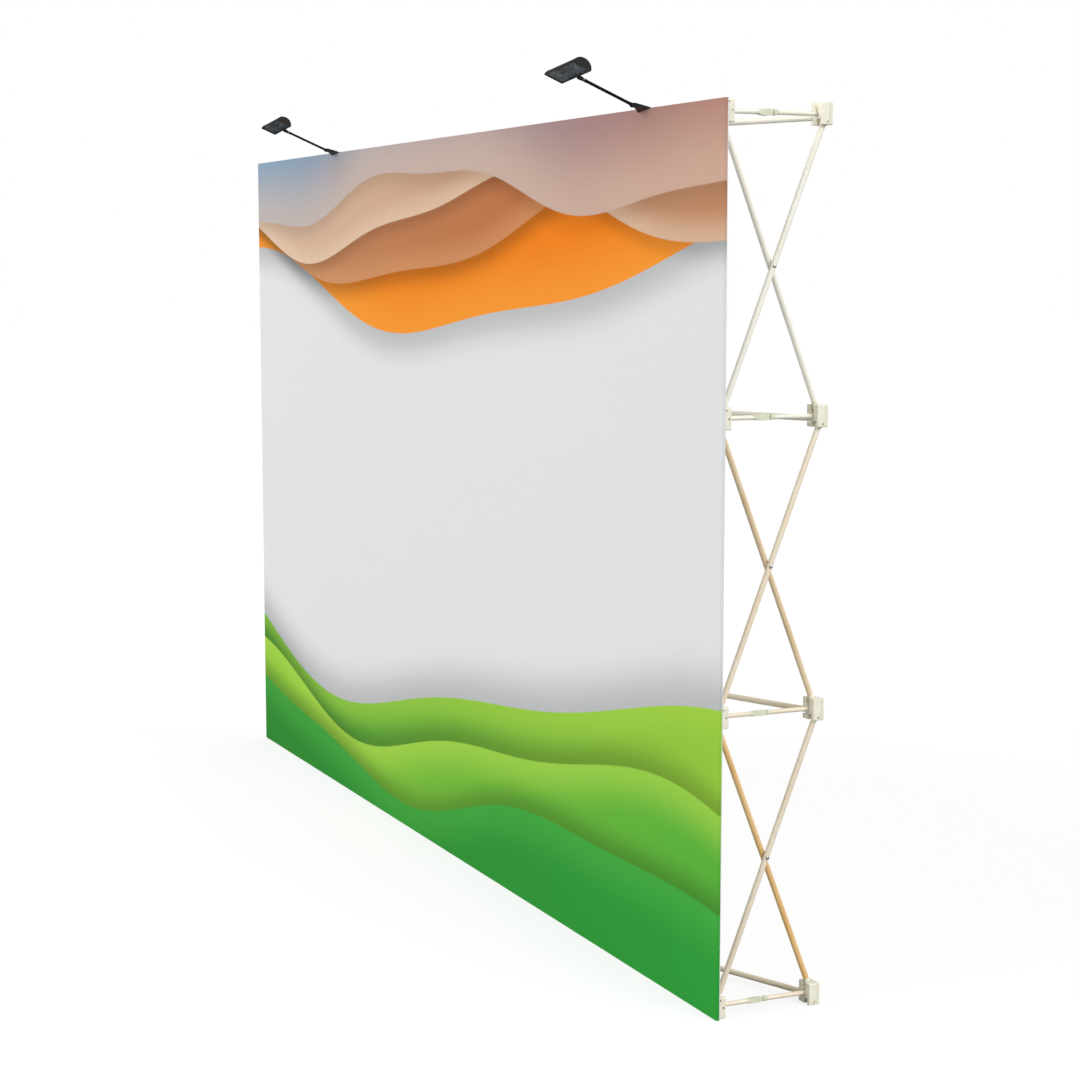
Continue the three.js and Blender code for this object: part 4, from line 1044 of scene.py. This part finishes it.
# Clip: a saddle that snaps over the tube, carried along it, with a collar for the screw, and a bridge that
# holds the bar
def clipParts(grip, barLow, barHigh, turn):
    r, gap, wall = tube["radius"], lamp["gap"], lamp["clipWall"]
    half, bore = r + gap + wall, r + 0.15
    t = np.linspace(math.pi, 0, 25)
    floor = barLow - gap - grip[2]
    outline = np.concatenate([[(half, -r), (half, floor), (-half, floor), (-half, -r), (-bore, -r)],
                              np.stack([bore * np.cos(t), bore * np.sin(t)], -1), [(bore, -r)]])
    saddle = eased(plate(outline, 0, -lamp["clipHalf"], lamp["clipHalf"]), 0.6)
    rim = lamp["clipCollar"]
    collar = turned((0, half - 0.5, 0), rearwards,
                    [(0, rim), (1.6, rim), (2.0, rim - 0.4), (2.0, lamp["screwRadius"] + 0.4)], 5)
    inside, side = lamp["barHalf"] + gap, lamp["barHalf"] + wall
    low, ceiling, roof = barLow - gap - 1, barHigh + gap, barHigh + gap + lamp["clipRoof"]
    outline = [(low, -side), (roof, -side), (roof, side), (low, side), (low, inside), (ceiling, inside),
               (ceiling, -inside), (low, -inside)]
    bridge = eased(plate(outline[::-1], 1, grip[1] - half + 1, grip[1] + half - 1), 0.6)
    shift = (0, grip[1], grip[2])
    return [moved(saddle, shift, turnAbout(2, turn)), moved(collar, shift, turnAbout(2, turn)), bridge]


# Knob: radius = knob + lobe * (cos(lobes * t) - 1), eased in at both faces, on a threaded shank
def screwParts():
    near = tube["radius"] + lamp["gap"] + lamp["clipWall"] + lamp["knobStandoff"]
    t = np.arange(60) * 2 * math.pi / 60
    radius = lamp["knobRadius"] + lamp["knobLobe"] * (np.cos(lamp["knobLobes"] * t) - 1)
    d = near + np.array([0, 0.4, 1.2, 1.3, 6.4, 7.4, 7.9, 8.0, 8.0, 7.4])
    inset = np.array([1.6, 0.7, 0.1, 0, 0.2, 0.8, 1.6, 2.6, 4.0, 4.4])
    r = radius[None, :] - inset[:, None]
    knob = carried(np.stack([r * np.sin(t), np.broadcast_to(d[:, None], r.shape), r * np.cos(t)], -1))
    thread = np.stack([np.linspace(tube["radius"] + 0.4, near + 1, 21),
                       lamp["screwRadius"] - 0.25 + 0.22 * np.cos(np.arange(21) * math.pi)], -1)
    return [knob], [turned(origin, rearwards, thread, 4)]


panelFace = panelLow[1]
barLow, barHigh = panelZ1 + lamp["gap"], panelZ1 + lamp["gap"] + lamp["barThick"]
paneX = hoodInside - lamp["paneInset"]
pane = block((-paneX, hoodMiddle - lamp["paneHalf"], lamp["glassLow"]),
             (paneX, hoodMiddle + lamp["paneHalf"], lamp["glassHigh"]), 0, 0.6, 0.5)
tilt = turnAbout(0, -lamp["tilt"])
rolled = tilt @ turnAbout(1, -lamp["roll"])
bulb, wire, holders = bulbParts()
knob, shank = screwParts()
wristPin = crossPin(-lamp["armLength"], 0, *lamp["wristPin"])
for number in (1, 2):
    label = f"lamp_{number}"
    knee, wrist, grip = (np.array(joints[f"{label}_{name}"]["pos_m"]) / mm
                         for name in ("arm_tilt", "head_tilt", "clamp_turn"))
    axis = joints[f"{label}_clamp_turn"]["axis"]
    turn = math.degrees(math.atan2(-axis[0], axis[1]))
    foot = footParts(knee[1], knee[2], panelFace - lamp["gap"], panelZ1, grip[1])
    kneePin = crossPin(knee[1], knee[2], *lamp["kneePin"])
    clip = clipParts(grip, barLow, barHigh, turn)
    onFrame = {"shift": (knee[0], 0, 0)}
    onClamp = {"body": f"{label}_screw_body", "shift": (knee[0], *grip[1:]), "turn": turnAbout(2, turn)}
    onArm = {"body": f"{label}_arm_body", "shift": knee, "turn": tilt}
    onWrist = {"body": f"{label}_arm_body", "shift": knee, "turn": rolled}
    onHead = {"body": f"{label}_head_body", "shift": wrist, "turn": rolled}
    for name, parts, material, node, slot, place in (
            ("fan_foot", foot, lampPlastic, "foot", "lamp_plastic", onFrame),
            ("knee_pin", [kneePin], armEnamel, "foot", None, onFrame),
            ("tube_clip", clip, lampPlastic, "clip", "lamp_plastic", onFrame),
            ("knob", knob, lampPlastic, "clamp_screw", "lamp_plastic", onClamp),
            ("thread", shank, zincSteel, "clamp_screw", None, onClamp),
            ("rod", armParts(), armEnamel, "arm", "lamp_steel", onArm),
            ("ferrule", ferruleParts(), ferruleSteel, "arm", None, onArm),
            ("clevis", clevisParts(), armEnamel, "arm", "lamp_steel", onWrist),
            ("wrist_pin", [wristPin], armEnamel, "arm", None, onWrist),
            ("shade", hoodParts(), hoodCoat, "hood", "lamp_plastic", onHead),
            ("mirror", reflectorParts(), reflectorMetal, "reflector", "reflector_metal", onHead),
            ("bulb", bulb, bulbGlass, "reflector", None, onHead),
            ("filament", wire, filamentMetal, "reflector", None, onHead),
            ("holders", holders, ceramic, "reflector", None, onHead),
            ("pane", [pane], paneGlass, "glass", "lamp_glass", onHead)):
        round = name in ("knee_pin", "thread", "ferrule", "wrist_pin", "mirror", "bulb", "filament")
        piece(f"{label}_{name}", parts, material, [f"{label}_{node}"], slot, flat=not round,
              sharpAngle=15 if name == "mirror" else 42, **place)
print("lamps ready")

# Stage, light and camera, in metres and degrees
studio = {
    "floor": 60.0, "floorColour": "#8c8c8c", "floorGlow": 0.76,
    "skyLow": 0.62, "skyHigh": 0.35,        # light of the room at eye level and overhead, as strengths
    "skyFade": (-0.1, 0.9),                 # and the heights on the unit sphere between which it changes
    "lights": {                             # suns: the place they shine from, and how wide they look
        "frame key": {"from": (4.4, 1.4, 2.6), "strength": 2.1, "spread": 50},
        "panel key": {"from": (-1.0, -5.0, 1.9), "strength": 2.55, "spread": 60},
        "back fill": {"from": (-2.5, 5.0, 1.8), "strength": 0.8, "spread": 70},
    },
    "camera": (6.735, -2.678, 1.883), "pitch": -6.86, "yaw": 65.91, "farthest": 200,
    "lens": 75.2, "sensor": 36.0,           # millimetres
}
size = studio["floor"]
floorMesh = bpy.data.meshes.new("studio_floor")
floorCorners = [(-size, -size, 0), (size, -size, 0), (size, size, 0), (-size, size, 0)]
floorMesh.from_pydata(floorCorners, [], [(0, 1, 2, 3)])
# Floor: pale sheet, lit of itself for the camera alone, so that it is white and throws little light up
floorMaterial, floorTree, floorShader = newMaterial(
    "lit white floor sheet", Base_Color=linear(studio["floorColour"]), Roughness=0.9, Specular_IOR_Level=0.0,
    Emission_Color=(1, 1, 1, 1))
seen = add(floorTree, "LightPath").outputs["Is Camera Ray"]
glow = add(floorTree, "Math", {0: seen, 1: studio["floorGlow"]}, operation="MULTIPLY")
floorTree.links.new(glow.outputs[0], floorShader.inputs["Emission Strength"])
floorMesh.materials.append(floorMaterial)
floor = bpy.data.objects.new("studio_floor", floorMesh)
bpy.context.scene.collection.objects.link(floor)

# World: white behind the object; as light it fades from eye level to overhead, so that upward faces keep
# their tone
world = bpy.data.worlds.new("white studio")
world.use_nodes = True
sky = world.node_tree
rise = add(sky, "SeparateXYZ", {0: add(sky, "TexCoord").outputs["Generated"]}).outputs[2]
low, high = studio["skyFade"]
lit = add(sky, "MapRange", {"Value": rise, "From Min": low, "From Max": high, "To Min": studio["skyLow"],
                            "To Max": studio["skyHigh"]}, interpolation_type="SMOOTHSTEP")
strength = add(sky, "Mix", {0: add(sky, "LightPath").outputs["Is Camera Ray"], 2: lit, 3: 1.0})
sky.links.new(strength.outputs[0], sky.nodes["Background"].inputs["Strength"])
sky.nodes["Background"].inputs["Color"].default_value = (1, 1, 1, 1)
bpy.context.scene.world = world

# Each sun's -Z points from its place to the middle of the floor
for name, values in studio["lights"].items():
    light = bpy.data.lights.new(name, "SUN")
    light.energy, light.angle = values["strength"], math.radians(values["spread"])
    source = bpy.data.objects.new(name, light)
    x, y, z = values["from"]
    source.rotation_euler = (math.atan2(math.hypot(x, y), z), 0.0, math.atan2(x, -y))
    bpy.context.scene.collection.objects.link(source)

lens = bpy.data.cameras.new("camera")
lens.lens, lens.sensor_width, lens.sensor_fit = studio["lens"], studio["sensor"], "HORIZONTAL"
lens.clip_end = studio["farthest"]
camera = bpy.data.objects.new("camera", lens)
camera.location = studio["camera"]
camera.rotation_euler = (math.radians(90 + studio["pitch"]), 0, math.radians(studio["yaw"]))
bpy.context.scene.collection.objects.link(camera)
bpy.context.scene.camera = camera
bpy.context.scene.view_settings.view_transform = "Standard"
print("stage ready")
